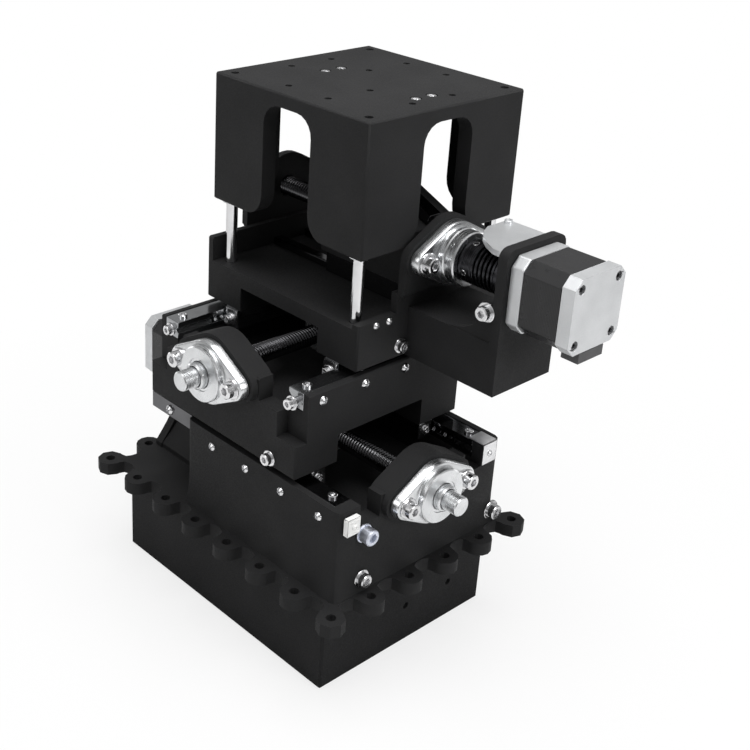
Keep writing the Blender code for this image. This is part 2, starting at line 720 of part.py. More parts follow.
def lug_plate_loops():
    """Outline of the foot plate: round lugs joined to its edge by fillets, and their holes."""
    inward = LUG_OUT - LUG_FILLET
    reach = math.sqrt((LUG_RADIUS + LUG_FILLET) ** 2 - inward ** 2)
    lean = math.degrees(math.atan2(inward, reach))
    outline = []
    holes = []
    for u, v, before, after in lug_places():
        for facing, way in ((before, -1.0), (after, 1.0)):
            angle = math.radians(facing)
            out = Vector((math.cos(angle), math.sin(angle)))
            along = Vector((-out.y, out.x))
            centre = Vector((u, v)) - out * inward + along * reach * way
            if way < 0:
                outline += arc(centre, LUG_FILLET, facing + 180.0, facing + 90.0 - lean, 2)
            else:
                outline += arc((u, v), LUG_RADIUS, before - 90.0 - lean + 12.0,
                               after + 90.0 + lean - 12.0, 6)
                outline += arc(centre, LUG_FILLET, facing - 90.0 + lean, facing - 180.0, 2)
                bow = Vector((u, v)) - out * (LUG_OUT + LUG_BOW) + along * LUG_PITCH / 2
                outline.append(tuple(bow))
        holes.append(circle((u, v), LUG_HOLE, 8))
    return [outline, *holes]


def skirted_block(name, look, frame, bottom, top):
    """The lower body: straight walls that spread in a curve to meet the foot plate."""
    levels = [(bottom, SKIRT_OUT)]
    steps = 6
    for index in range(1, steps + 1):
        angle = math.pi / 2 * index / steps
        levels.append((bottom + SKIRT_HIGH * (1.0 - math.cos(angle)),
                       SKIRT_OUT * (1.0 - math.sin(angle))))
    levels.append((top, 0.0))

    def build(bm):
        rings = []
        for height, out in levels:
            half = BODY_HALF + out
            ring = []
            for sign_u, sign_v, start in ((1, 1, 0), (-1, 1, 90), (-1, -1, 180), (1, -1, 270)):
                centre = (sign_u * (half - BODY_CORNER), sign_v * (half - BODY_CORNER))
                for u, v in arc(centre, BODY_CORNER, start, start + 90, 2):
                    ring.append(bm.verts.new((u, v, height)))
            rings.append(ring)
        count = len(rings[0])
        for lower, upper in zip(rings, rings[1:]):
            for index in range(count):
                after = (index + 1) % count
                bm.faces.new((lower[index], lower[after], upper[after], upper[index]))
        bm.faces.new(list(reversed(rings[0])))
        bm.faces.new(rings[-1])
    return finish(name, mesh_from(name, build), look, frame)


def body_cuts(prefix, body, frame, floor):
    """Trough, rail rebates and the notches that let the moving rails pass the end walls."""
    far = BODY_HALF - END_WALL
    high = WALL_ABOVE_AXIS + PAST
    trough = ((-far, -TROUGH_HALF, -floor), (far, TROUGH_HALF, high))
    cut(body, tool_box(prefix + "_trough", frame, trough))
    shelf = WALL_ABOVE_AXIS - RAIL_HIGH - 2 * GAP
    rail_side = BODY_HALF - SKIN
    end = BODY_HALF + PAST
    rebates = []
    for way in (-1, 1):
        near = way * (TROUGH_HALF - GAP)
        away = way * rail_side
        rebates.append(((-RAIL_FAR - GAP, min(near, away), shelf),
                        (end, max(near, away), high)))
    cut(body, tool_box(prefix + "_rebates", frame, *rebates))
    pad_half = FLANGE_PITCH + FLANGE_END + PAD_MARGIN
    notches = []
    for way in (-1, 1):
        near = way * (pad_half + NOTCH_MARGIN)
        away = way * TROUGH_HALF
        notches.append(((-end, min(near, away), shelf - NOTCH_DROP),
                        (end, max(near, away), high)))
    cut(body, tool_box(prefix + "_notches", frame, *notches))


def lower_stage(frame):
    plate_bottom = -LOWER_AXIS_RISE - PLATE_THICK
    body = skirted_block("lower_body", PRINTED, frame, -LOWER_AXIS_RISE - BITE,
                         WALL_ABOVE_AXIS)
    body_cuts("lower", body, frame, LOWER_FLOOR)
    plate = prism("lower_foot_plate", lug_plate_loops(), FLAT, plate_bottom,
                  -LOWER_AXIS_RISE, None, frame, cutters)
    cut(body, plate, "UNION")
    motor_arm("lower", body, frame, -LOWER_AXIS_RISE - BITE, FOOT_HALF, -ARM_DROP,
              GUSSET_RISE)
    end_pads("lower", body, frame, END_WALL + EDGE)
    return body


def middle_stage(frame):
    bottom = -MIDDLE_AXIS_RISE

    def block(bm):
        add_box(bm, (-BODY_HALF, -BODY_HALF, bottom), (BODY_HALF, BODY_HALF, WALL_ABOVE_AXIS))
    body = finish("middle_body", mesh_from("middle_body", block), PRINTED, frame)
    round_edges(body, EDGE)
    body_cuts("middle", body, frame, MIDDLE_AXIS_RISE - MIDDLE_FLOOR)
    roof = bottom + MIDDLE_TUNNEL_ROOF
    tunnel = ((-TUNNEL_HALF, -BODY_HALF - PAST, bottom - PAST),
              (TUNNEL_HALF, BODY_HALF + PAST, roof))
    corners = []
    for way in (-1, 1):
        edge = way * TROUGH_HALF
        away = way * (BODY_HALF + PAST)
        corners.append(((-BODY_HALF - PAST, min(edge, away), -MIDDLE_SHOULDER),
                        (-BODY_HALF + MIDDLE_CORNER, max(edge, away),
                         WALL_ABOVE_AXIS + PAST)))
    cut(body, tool_box("middle_tunnel", frame, tunnel))
    cut(body, tool_box("middle_corners", frame, *corners))
    motor_arm("middle", body, frame, bottom, FOOT_HALF, -ARM_DROP, GUSSET_RISE)
    end_pads("middle", body, frame, END_WALL + EDGE)
    return body


def upper_stage(frame):
    bottom = -UPPER_AXIS_RISE
    floor = bottom + UPPER_FLOOR
    wall_top = bottom + UPPER_WALL_TOP

    def block(bm):
        add_box(bm, (-BODY_HALF, -UPPER_HALF_Y, bottom), (BODY_HALF, UPPER_HALF_Y, wall_top))
    body = finish("upper_body", mesh_from("upper_body", block), PRINTED, frame)
    round_edges(body, EDGE)
    inner = BODY_HALF - UPPER_WALL
    high = wall_top + PAST
    side = UPPER_HALF_Y + PAST
    tray = ((-inner, -side, floor), (inner, side, high))
    cut(body, tool_box("upper_tray", frame, tray))
    lips = []
    for way in (-1, 1):
        edge = way * (inner - EDGE)
        away = way * (BODY_HALF + PAST)
        near = -way * TUNNEL_HALF
        far = -way * side
        lips.append(((min(edge, away), min(near, far), floor + UPPER_LIP),
                     (max(edge, away), max(near, far), high)))
    cut(body, tool_box("upper_lips", frame, *lips))
    roof = bottom + UPPER_TUNNEL_ROOF
    tunnel = ((-TUNNEL_HALF, -side, bottom - PAST), (TUNNEL_HALF, side, roof))
    cut(body, tool_box("upper_tunnel", frame, tunnel))
    grooves = []
    for way in (-1, 1):
        for place in GROOVES:
            edge = way * (BODY_HALF - GROOVE_DEEP)
            away = way * (BODY_HALF + PAST)
            low = -way * place - GROOVE_WIDE / 2
            grooves.append(((min(edge, away), low, bottom - PAST),
                            (max(edge, away), low + GROOVE_WIDE, floor)))
    cut(body, tool_box("upper_grooves", frame, *grooves))
    motor_arm("upper", body, frame, bottom, BRACKET_HALF, -UPPER_ARM_DROP,
              UPPER_GUSSET_RISE)
    bearing_walls(body, frame, wall_top)
    end_pads("upper", body, frame, EDGE / 2)
    sockets = finish("upper_pin_sockets", mesh_from("sockets", pin_socket_cuts), None,
                     frame, cutters)
    cut(body, sockets)
    return body


def bearing_walls(body, frame, wall_top):
    """Plates under the upper bearings, outside the table's legs, blending into the walls."""
    half = FLANGE_PITCH + FLANGE_END + PAD_MARGIN - EDGE / 2
    face = BODY_HALF + PAD_THICK - EDGE / 2
    inner = BODY_HALF - EDGE
    foot = wall_top - PLATE_FOOT
    side = [(BODY_HALF - UPPER_WALL / 2, foot - EDGE), (inner, foot - EDGE)]
    for step in range(7):
        angle = math.pi / 2 * step / 6
        side.append((inner + (face - inner) * (1.0 - math.cos(angle)),
                     foot + PLATE_FOOT * math.sin(angle)))
    side += [(face, -EDGE), (inner, -EDGE), (inner, wall_top - EDGE),
             (BODY_HALF - UPPER_WALL / 2, wall_top - EDGE)]
    for way, label in ((-1, "far"), (1, "near")):
        outline = [(way * u, v) for u, v in side]
        wall = prism("upper_plate_" + label, [outline], ALONG, -half, half, None, frame,
                     cutters)
        cut(body, wall, "UNION")


def pin_places():
    return [(a * PIN_POS, b * PIN_POS) for a in (-1, 1) for b in (-1, 1)]


def pin_socket_cuts(bm):
    floor = -UPPER_AXIS_RISE + UPPER_FLOOR
    for x, y in pin_places():
        add_cylinder(bm, (x, y, floor - PIN_SEAT), "Z", PIN_DIA / 2 + GAP,
                     PIN_SEAT + PAST, 16)


def guide_pins(frame, table_frame):
    """Four pins in the upper body, each inside a bushing in a leg of the table."""
    floor = -UPPER_AXIS_RISE + UPPER_FLOOR
    for index, (x, y) in enumerate(pin_places(), 1):
        def pin(bm):
            add_cylinder(bm, (x, y, floor - PIN_SEAT + GAP), "Z", PIN_DIA / 2,
                         PIN_LONG + PIN_SEAT, 16)

        def sleeve(bm):
            add_cylinder(bm, (x, y, TABLE_RISE - BUSH_PROUD), "Z", BUSH_RADIUS,
                         BUSH_LONG, 16)

        def bore(bm):
            add_cylinder(bm, (x, y, TABLE_RISE - 2 * BUSH_PROUD), "Z",
                         PIN_DIA / 2 + GAP, BUSH_LONG + 3 * BUSH_PROUD, 16)
        name = "guide_pin_%d" % index
        finish(name, mesh_from(name, pin), STEEL, frame)
        name = "guide_bushing_%d" % index
        bush = finish(name, mesh_from(name, sleeve), ALLOY, table_frame)
        cut(bush, finish(name + "_bore", mesh_from(name, bore), None, table_frame, cutters))


def arch_loop(half, floor, radius, top, foot):
    """An arch with round shoulders whose feet sweep outwards at the open bottom."""
    points = [(half + foot, floor - 2 * BITE)]
    for u, v in arc((half + foot, floor + foot), foot, 270.0, 180.0, 5):
        points.append((u, v))
    points += arc((half - radius, top - radius), radius, 0.0, 90.0, 5)
    mirrored = [(-u, v) for u, v in reversed(points)]
    return points + mirrored


def table(frame):
    half_x = TABLE_X / 2
    half_y = TABLE_Y / 2
    top = TABLE_RISE + TABLE_Z

    def block(bm):
        add_box(bm, (-half_x, -half_y, TABLE_RISE), (half_x, half_y, top))
    body = finish("table", mesh_from("table", block), PRINTED, frame)
    round_edges(body, EDGE)
    ceiling = top - TABLE_TOP
    inner_x = half_x - TABLE_WALL
    inner_y = half_y - TABLE_WALL
    column_x = half_x - COLUMN
    column_y = half_y - COLUMN
    low = TABLE_RISE - PAST
    hollow = ((-column_x, -inner_y, low), (column_x, inner_y, ceiling))
    wide = ((-inner_x, -column_y, low), (inner_x, column_y, ceiling))
    cut(body, tool_box("table_hollow", frame, hollow))
    cut(body, tool_box("table_hollow_wide", frame, wide))
    arch = arch_loop(ARCH_HALF, TABLE_RISE, ARCH_RADIUS, ceiling, ARCH_FOOT)
    through_x = prism("arch_x", [arch], ACROSS, -half_x - PAST, half_x + PAST, None,
                      frame, cutters)
    through_y = prism("arch_y", [arch], ALONG, -half_y - PAST, half_y + PAST, None,
                      frame, cutters)
    cut(body, through_x)
    cut(body, through_y)

    def bores(bm):
        for x, y in pin_places():
            start = -UPPER_AXIS_RISE + UPPER_FLOOR
            add_cylinder(bm, (x, y, start), "Z", PIN_DIA / 2 + 2 * GAP,
                         PIN_LONG + LIFT_DOWN + EDGE, 12)
    cut(body, finish("pin_bores", mesh_from("bores", bores), None, frame, cutters))

    def seats(bm):
        for x, y in pin_places():
            add_cylinder(bm, (x, y, TABLE_RISE - PAST), "Z", BUSH_RADIUS + GAP,
                         PAST + BUSH_LONG - BUSH_PROUD + GAP, 16)
    cut(body, finish("bush_seats", mesh_from("seats", seats), None, frame, cutters))

    def holes(bm):
        away_x = half_x - TOP_HOLE_INSET_X
        away_y = half_y - TOP_HOLE_INSET_Y
        spots = [(a * TOP_HOLE_SIDE, b * away_y) for a in (-1, 1) for b in (-1, 1)]
        spots += [(a * away_x, b * TOP_HOLE_SIDE) for a in (-1, 1) for b in (-1, 1)]
        spots += [(a * MIDDLE_HOLE_SIDE, -a * TOP_HOLE_SIDE) for a in (-1, 1)]
        kinds = [(spots, TOP_HOLE, TOP_HOLE_DEEP, 8),
                 (pin_places(), CORNER_HOLE, CORNER_HOLE_DEEP, 8),
                 (table_screw_places(), TABLE_HEAD + GAP, TABLE_HEAD_DEEP, 12)]
        for places, radius, deep, segments in kinds:
            for x, y in places:
                add_cylinder(bm, (x, y, top - deep), "Z", radius, deep + PAST, segments)
    cut(body, finish("top_holes", mesh_from("holes", holes), None, frame, cutters))
    return body


def table_screw_places():
    return [(x, way * TABLE_HEADS_SIDE) for x in TABLE_HEADS_X for way in (-1, 1)]


def incline_height(x):
    """Height of the wedge's sloping face over the screw's axis."""
    return WEDGE_TOP - math.tan(WEDGE_ANGLE) * x


def incline_place(x, lift):
    """A matrix on the sloping face at a station, lifted along the face's normal."""
    up = Vector((math.sin(WEDGE_ANGLE), 0.0, math.cos(WEDGE_ANGLE)))
    point = Vector((x, 0.0, incline_height(x))) + up * lift
    return Matrix.Translation(point) @ Matrix.Rotation(WEDGE_ANGLE, 4, "Y")


def wedge_parts(frame, table_frame):
    floor = -UPPER_AXIS_RISE + UPPER_FLOOR
    car_top = floor + FLOOR_CAR_HIGH + FLOOR_RAIL_HIGH + GAP
    low = car_top + GAP
    side = [(WEDGE_HIGH, low), (WEDGE_LOW, low), (WEDGE_LOW, incline_height(WEDGE_LOW)),
            (WEDGE_HIGH, incline_height(WEDGE_HIGH))]
    body = prism("wedge", [side], ALONG, -WEDGE_HALF, WEDGE_HALF, PRINTED, frame)

    def bore(bm):
        radius = SCREW_DIA / 2 + BORE_CLEAR
        length = WEDGE_LONG + 2 * PAST
        add_cylinder(bm, (WEDGE_HIGH - PAST, 0.0, 0.0), "X", radius, length, 16)
    cut(body, finish("wedge_bore", mesh_from("bore", bore), None, frame, cutters))
    inner = SCREW_DIA / 2 + GAP
    profile = [(inner, WEDGE_NUT_LONG), (WEDGE_NUT_RADIUS, WEDGE_NUT_LONG),
               (WEDGE_NUT_RADIUS, 0.0), (inner, 0.0)]
    turned("wedge_nut", profile, 16, STEEL, frame, WEDGE_HIGH - GAP - WEDGE_NUT_LONG)

    for way, label in SIDES:
        def car_blank(bm):
            y = way * FLOOR_RAIL_POS
            add_box(bm, (WEDGE_HIGH + FLOOR_CAR_INSET, y - FLOOR_CAR_WIDE / 2,
                         floor + 2 * GAP),
                    (WEDGE_LOW - FLOOR_CAR_INSET, y + FLOOR_CAR_WIDE / 2, car_top))

        def car_channel(bm):
            y = way * FLOOR_RAIL_POS
            half = FLOOR_RAIL_WIDE / 2 + SLIDE_GAP
            add_box(bm, (-FLOOR_RAIL_HALF, y - half, floor - FLOOR_RAIL_HIGH),
                    (FLOOR_RAIL_HALF * 2, y + half, floor + FLOOR_RAIL_HIGH + GAP + SLIDE_GAP))
        name = "wedge_carriage_" + label
        car = finish(name, mesh_from(name, car_blank), STEEL, frame)
        cut(car, finish(name + "_channel", mesh_from(name, car_channel), None, frame,
                        cutters))

    def rail(bm):
        length = WEDGE_LONG / math.cos(WEDGE_ANGLE) - 2 * INCLINE_RAIL_END
        add_box(bm, (-length / 2, -INCLINE_RAIL_WIDE / 2, GAP),
                (length / 2, INCLINE_RAIL_WIDE / 2, GAP + INCLINE_RAIL_HIGH))
        middle = (WEDGE_LOW + WEDGE_HIGH) / 2
        bmesh.ops.transform(bm, matrix=incline_place(middle, 0.0), verts=bm.verts)
    finish("incline_rail", mesh_from("rail", rail), STEEL, frame)

    def car(bm):
        half = INCLINE_CAR_LONG / 2
        add_box(bm, (-half, -INCLINE_CAR_WIDE / 2, INCLINE_CAR_LIFT),
                (half, INCLINE_CAR_WIDE / 2, INCLINE_CAR_TOP))
        bmesh.ops.transform(bm, matrix=incline_place(CAR_AT, 0.0), verts=bm.verts)

    def channel(bm):
        wide = INCLINE_RAIL_WIDE / 2 + SLIDE_GAP
        add_box(bm, (-INCLINE_CAR_LONG, -wide, 0.0),
                (INCLINE_CAR_LONG, wide, GAP + INCLINE_RAIL_HIGH + SLIDE_GAP))
        bmesh.ops.transform(bm, matrix=incline_place(CAR_AT, 0.0), verts=bm.verts)
    carriage = finish("incline_carriage", mesh_from("car", car), STEEL, table_frame)
    cut(carriage, finish("incline_channel", mesh_from("channel", channel), None,
                         table_frame, cutters))
    lift = (INCLINE_CAR_TOP + GAP) / math.cos(WEDGE_ANGLE)
    ceiling = TABLE_RISE + TABLE_Z - TABLE_TOP - GAP
    block = [(BLOCK_FROM, incline_height(BLOCK_FROM) + lift),
             (BLOCK_TO, incline_height(BLOCK_TO) + lift),
             (BLOCK_TO, ceiling), (BLOCK_FROM, ceiling)]
    prism("table_block", [block], ALONG, -BLOCK_HALF, BLOCK_HALF, PRINTED, table_frame)


def floor_rails(frame):
    floor = -UPPER_AXIS_RISE + UPPER_FLOOR + GAP
    for way, label in SIDES:
        def build(bm):
            y = way * FLOOR_RAIL_POS
            add_box(bm, (-FLOOR_RAIL_HALF, y - FLOOR_RAIL_WIDE / 2, floor),
                    (FLOOR_RAIL_HALF, y + FLOOR_RAIL_WIDE / 2, floor + FLOOR_RAIL_HIGH))
        name = "floor_rail_" + label
        round_edges(finish(name, mesh_from(name, build), STEEL, frame), FLOOR_RAIL_EDGE)


def drive_nut(name, frame, roof, axis_height):
    """A block that hangs from a tunnel's roof round the screw of the axis below."""
    bottom = axis_height - NUT_HALF
    top = roof - GAP
    half = NUT_LONG / 2
    shoulder = axis_height + NUT_SHOULDER
    side = [(-NUT_HALF, bottom + NUT_CHAMFER), (-NUT_HALF + NUT_CHAMFER, bottom),
            (NUT_HALF - NUT_CHAMFER, bottom), (NUT_HALF, bottom + NUT_CHAMFER),
            (NUT_HALF, shoulder), (NUT_HALF, top), (-NUT_HALF, top), (-NUT_HALF, shoulder)]
    hole = circle((0.0, axis_height), SCREW_DIA / 2 + GAP, 16)
    return prism(name, [side, hole], ACROSS, -NUT_BACK - half, -NUT_BACK + half, ALLOY,
                 frame)


def stage_drive(prefix, frame):
    bearing(prefix + "_far_bearing", -1, frame)
    bearing(prefix + "_near_bearing", 1, frame)
    ball_screw(prefix + "_screw", frame)
    coupling(prefix + "_coupling", frame)
    motor(prefix, frame)


def limit_switch(frame):
    """A small end switch on a corner of the lower body."""
    low = (-BODY_HALF - SWITCH_PROUD, BODY_HALF - SWITCH_INSET - SWITCH_WIDE, -SWITCH_DROP)
    high = (-BODY_HALF - GAP, BODY_HALF - SWITCH_INSET, -SWITCH_DROP + SWITCH_HIGH)

    def build(bm):
        add_box(bm, low, high)
    switch = finish("limit_switch", mesh_from("limit_switch", build), WHITE_PLASTIC, frame)
    round_edges(switch, SWITCH_EDGE)


def build_all():
    def block(bm):
        add_box(bm, (-BASE_X / 2, -BASE_Y / 2, 0.0), (BASE_X / 2, BASE_Y / 2, BASE_Z))
    base = finish("base_block", mesh_from("base_block", block), PRINTED, None)
    round_edges(base, BASE_EDGE)

    def side_holes(bm):
        length = BASE_HOLE_DEEP + PAST
        for way in (-1, 1):
            start = way * BASE_X / 2 - (BASE_HOLE_DEEP if way > 0 else PAST)
            for y in (0.0, way * BASE_HOLE_SIDE):
                add_cylinder(bm, (start, y, BASE_HOLE_HIGH), "X", BASE_HOLE, length, 8)
    cut(base, finish("base_holes", mesh_from("base_holes", side_holes), None, None, cutters))

    lower = frame_empty("lower_frame", (LOWER_SHIFT_X, 0.0, LOWER_AXIS), math.pi)
    lower_stage(lower)
    fixed_rails("lower", lower)
    stage_drive("lower", lower)
    limit_switch(lower)

    middle_x = LOWER_SHIFT_X + MIDDLE_AT_REST
    middle = frame_empty("middle_frame", (middle_x, 0.0, MIDDLE_AXIS), math.pi / 2)
    middle_stage(middle)
    fixed_rails("middle", middle)
    stage_drive("middle", middle)
    under_middle = frame_empty("under_middle", (middle_x, 0.0, MIDDLE_BOTTOM), math.pi)
    moving_rails("middle", under_middle)
    drive_nut("lower_nut", under_middle, MIDDLE_TUNNEL_ROOF, LOWER_AXIS - MIDDLE_BOTTOM)

    upper_place = (middle_x, UPPER_AT_REST, UPPER_AXIS)
    upper = frame_empty("upper_frame", upper_place)
    upper_stage(upper)
    stage_drive("upper", upper)
    under_place = (middle_x, UPPER_AT_REST, UPPER_BOTTOM)
    under_upper = frame_empty("under_upper", under_place, math.pi / 2)
    moving_rails("upper", under_upper)
    drive_nut("middle_nut", under_upper, UPPER_TUNNEL_ROOF, MIDDLE_AXIS - UPPER_BOTTOM)
    floor_rails(upper)

    wedge_frame = frame_empty("wedge_frame", upper_place)
    table_frame = frame_empty("table_frame", upper_place)
    wedge_parts(wedge_frame, table_frame)
    guide_pins(upper, table_frame)
    table(table_frame)
    shade_smooth_by_angle()


build_all()
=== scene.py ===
# %% [markdown]
# # A three-axis motorized positioner, dressed for its portrait
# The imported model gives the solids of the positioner. This lesson adds what a solid
# model leaves out: thread, slits, screws, roller cages, and a finish for each surface.
# Everything is in metres and in the model's own frame, so a piece is built where it goes.

# %% Load the model
import math

import bmesh
import bpy
from mathutils import Matrix, Vector


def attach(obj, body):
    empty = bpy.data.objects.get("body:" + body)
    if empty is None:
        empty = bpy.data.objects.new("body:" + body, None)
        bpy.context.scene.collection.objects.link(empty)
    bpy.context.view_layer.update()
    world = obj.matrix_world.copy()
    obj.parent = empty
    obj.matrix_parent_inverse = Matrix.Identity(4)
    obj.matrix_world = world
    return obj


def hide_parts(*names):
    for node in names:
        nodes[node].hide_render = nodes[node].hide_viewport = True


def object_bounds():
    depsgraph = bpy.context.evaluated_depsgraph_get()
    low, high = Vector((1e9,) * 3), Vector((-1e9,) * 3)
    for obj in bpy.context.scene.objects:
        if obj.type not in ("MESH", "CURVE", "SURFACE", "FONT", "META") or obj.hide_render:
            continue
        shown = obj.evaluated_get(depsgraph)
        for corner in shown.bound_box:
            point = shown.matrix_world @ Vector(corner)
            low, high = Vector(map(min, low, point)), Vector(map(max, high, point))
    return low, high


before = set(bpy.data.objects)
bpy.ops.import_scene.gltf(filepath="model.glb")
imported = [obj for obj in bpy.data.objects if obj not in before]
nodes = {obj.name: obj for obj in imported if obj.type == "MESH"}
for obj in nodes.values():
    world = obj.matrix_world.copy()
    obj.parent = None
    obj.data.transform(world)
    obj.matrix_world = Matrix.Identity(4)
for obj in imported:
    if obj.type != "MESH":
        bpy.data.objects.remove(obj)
model_box = [list(corner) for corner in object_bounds()]
print("model box in mm:", [[round(v * 1000, 1) for v in corner] for corner in model_box])

# %% [markdown]
# ## The camera
# The photograph looks down a little on a corner of the machine. The picture is the right
# part of a wider one, so its own middle lies off to the side. A large lens shift would
# say so exactly, but it would push the machine out of the frame in views from other
# sides. A small shift and a small roll keep the upright edges leaning as they do there.

# %% Camera
# Angles in degrees, fitted to points of the machine in the photograph
HEADING = 47.01
LOOK_DOWN = 23.477
ROLL = 2.626

scene = bpy.context.scene
scene.view_settings.view_transform = "Standard"
camera_data = bpy.data.cameras.new("portrait")
camera_data.lens = 61.276
camera_data.shift_x = 0.10
camera_data.shift_y = -0.12
camera = bpy.data.objects.new("portrait", camera_data)
camera.location = (0.4961, -0.4740, 0.4983)
heading = Matrix.Rotation(math.radians(HEADING), 4, "Z")
pitch = Matrix.Rotation(math.radians(90.0 - LOOK_DOWN), 4, "X")
roll = Matrix.Rotation(math.radians(ROLL), 4, "Z")
camera.rotation_euler = (heading @ pitch @ roll).to_euler()
scene.collection.objects.link(camera)
scene.camera = camera
print("camera at", tuple(camera.location), "lens", camera_data.lens)

# %% [markdown]
# ## Node materials
# Each finish is a small graph of nodes: a noise gives the grain, a ramp turns it into
# colour or roughness, and a bump node turns it into relief. An image could do the same,
# but it would need a file and an unwrapped mesh. Texture Coordinate's Object output is
# used, because every mesh here is in the part's own metres, so a scale of 1000 means
# one feature per millimetre on every piece.

# %% Tools for a finish
def new_finish(name, colour, roughness, metallic=0.0, specular=0.5):
    material = bpy.data.materials.new(name)
    material.use_nodes = True
    tree = material.node_tree
    shader = tree.nodes["Principled BSDF"]
    shader.inputs["Base Color"].default_value = (*colour, 1.0)
    shader.inputs["Roughness"].default_value = roughness
    shader.inputs["Metallic"].default_value = metallic
    shader.inputs["Specular IOR Level"].default_value = specular
    return material, tree, shader


def place_of_point(tree, stretch=(1.0, 1.0, 1.0)):
    source = tree.nodes.new("ShaderNodeTexCoord")
    mapping = tree.nodes.new("ShaderNodeMapping")
    mapping.inputs["Scale"].default_value = stretch
    tree.links.new(source.outputs["Object"], mapping.inputs["Vector"])
    return mapping.outputs["Vector"]


def grain(tree, size, detail=3.0, stretch=(1.0, 1.0, 1.0)):
    """Noise whose features are about size metres across."""
    noise = tree.nodes.new("ShaderNodeTexNoise")
    noise.inputs["Scale"].default_value = 1.0 / size
    noise.inputs["Detail"].default_value = detail
    tree.links.new(place_of_point(tree, stretch), noise.inputs["Vector"])
    return noise.outputs["Fac"]


def ramp_between(tree, value, low, high, start=0.35, end=0.65):
    """Spread a value that runs from start to end between two other numbers."""
    spread = tree.nodes.new("ShaderNodeMapRange")
    spread.inputs["From Min"].default_value = start
    spread.inputs["From Max"].default_value = end
    spread.inputs["To Min"].default_value = low
    spread.inputs["To Max"].default_value = high
    tree.links.new(value, spread.inputs["Value"])
    return spread.outputs["Result"]


def tint_between(tree, value, dark, light):
    """Turn a noise, which stays near 0.5, into a colour between two others."""
    ramp = tree.nodes.new("ShaderNodeValToRGB")
    ramp.color_ramp.elements[0].position = 0.3
    ramp.color_ramp.elements[0].color = (*dark, 1.0)
    ramp.color_ramp.elements[1].position = 0.7
    ramp.color_ramp.elements[1].color = (*light, 1.0)
    tree.links.new(value, ramp.inputs["Fac"])
    return ramp.outputs["Color"]


def add_relief(tree, shader, value, depth, strength, under=None):
    """Let a value raise the surface by up to depth, on top of the relief under it."""
    bump = tree.nodes.new("ShaderNodeBump")
    bump.inputs["Strength"].default_value = strength
    bump.inputs["Distance"].default_value = depth
    tree.links.new(value, bump.inputs["Height"])
    if under is not None:
        tree.links.new(under, bump.inputs["Normal"])
    tree.links.new(bump.outputs["Normal"], shader.inputs["Normal"])
    return bump.outputs["Normal"]


print("materials that came with the model:", len(bpy.data.materials))

# %% [markdown]
# ## Black printed plastic
# The three bodies, the table and the wedge are printed in black nylon powder: matt,
# very slightly sandy, with no layer lines to see from a step away. A colour that is a
# little uneven and a fine bump keep the big flat faces from looking like paint. The
# noise is in the material, because real grains would take millions of faces. The
# table's copy is lighter, as painted light where more light falls. The lower body's copy
# is a little darker and the base block's darker still, as painted shade low under the
# machine.

# %% Printed plastic
def printed_plastic(name, dark, light, gloss=0.11):
    material, tree, shader = new_finish(name, light, 0.6, specular=gloss)
    broad = grain(tree, 0.035, 4.0)
    fine = grain(tree, 0.0007, 2.0)
    tree.links.new(tint_between(tree, broad, dark, light), shader.inputs["Base Color"])
    tree.links.new(ramp_between(tree, fine, 0.52, 0.72), shader.inputs["Roughness"])
    coarse = add_relief(tree, shader, grain(tree, 0.004, 2.0), 0.00006, 0.5)
    add_relief(tree, shader, fine, 0.00005, 0.6, coarse)
    return material


# The table's lighter copy is painted light; the lower body's and the base block's darker
# copies are painted shade
lit_table_finish = printed_plastic("printed_table_painted_light", (0.018, 0.018, 0.0185),
                               (0.023, 0.023, 0.0235))
printed = printed_plastic("printed_nylon", (0.015, 0.015, 0.0155), (0.020, 0.020, 0.0205))
shaded_lower_finish = printed_plastic("printed_lower_painted_shade", (0.015, 0.015, 0.0155),
                               (0.019, 0.019, 0.0195))
shaded_block_finish = printed_plastic("base_block_painted_shade", (0.009, 0.009, 0.0095),
                               (0.0125, 0.0125, 0.013), 0.12)
print("printed finishes:", lit_table_finish.name, printed.name, shaded_lower_finish.name,
      shaded_block_finish.name)

# %% [markdown]
# ## Metals
# The rails and pins are ground steel. The rails in X are given a dark colour: a painted
# reflection of the dark surroundings that their polished steel would mirror. The screws
# are rolled steel, and their dark colour is the same painted dark reflection. The
# bearings are machined alloy, the motors cast alloy, and the bolts bright or coated with
# zinc. The screws in the motors' end caps are dark as painted shade of the pockets they
# sit in. They differ in colour, gloss and which way their fine scratches run, so the
# noise is stretched along the work. Anisotropic shading could stretch the highlights
# instead, but it needs a tangent on every mesh.

# %% Metal finishes
def ground_metal(name, colour, roughness, along, size=0.0006):
    """Metal with fine scratches along one axis, or round the third where two are named."""
    material, tree, shader = new_finish(name, colour, roughness, 1.0)
    stretch = [1.0, 1.0, 1.0]
    for axis in along:
        stretch["XYZ".index(axis)] = 0.03
    lines = grain(tree, size, 3.0, stretch)
    cloud = grain(tree, 0.012, 3.0)
    darker = tuple(v * 0.82 for v in colour)
    tree.links.new(tint_between(tree, cloud, darker, colour), shader.inputs["Base Color"])
    tree.links.new(ramp_between(tree, lines, roughness * 0.85, roughness * 1.2),
                   shader.inputs["Roughness"])
    add_relief(tree, shader, lines, 0.0000015, 0.7)
    return material


# Rails in X: the dark base colour is a painted reflection of dark surroundings
rail_x = ground_metal("rail_x_painted_dark_reflection", (0.13, 0.13, 0.135), 0.13, "X")
rail_y = ground_metal("ground_rail_y", (0.42, 0.43, 0.44), 0.2, "Y")
pin_steel = ground_metal("ground_pin", (0.8, 0.8, 0.81), 0.12, "Z", 0.0004)
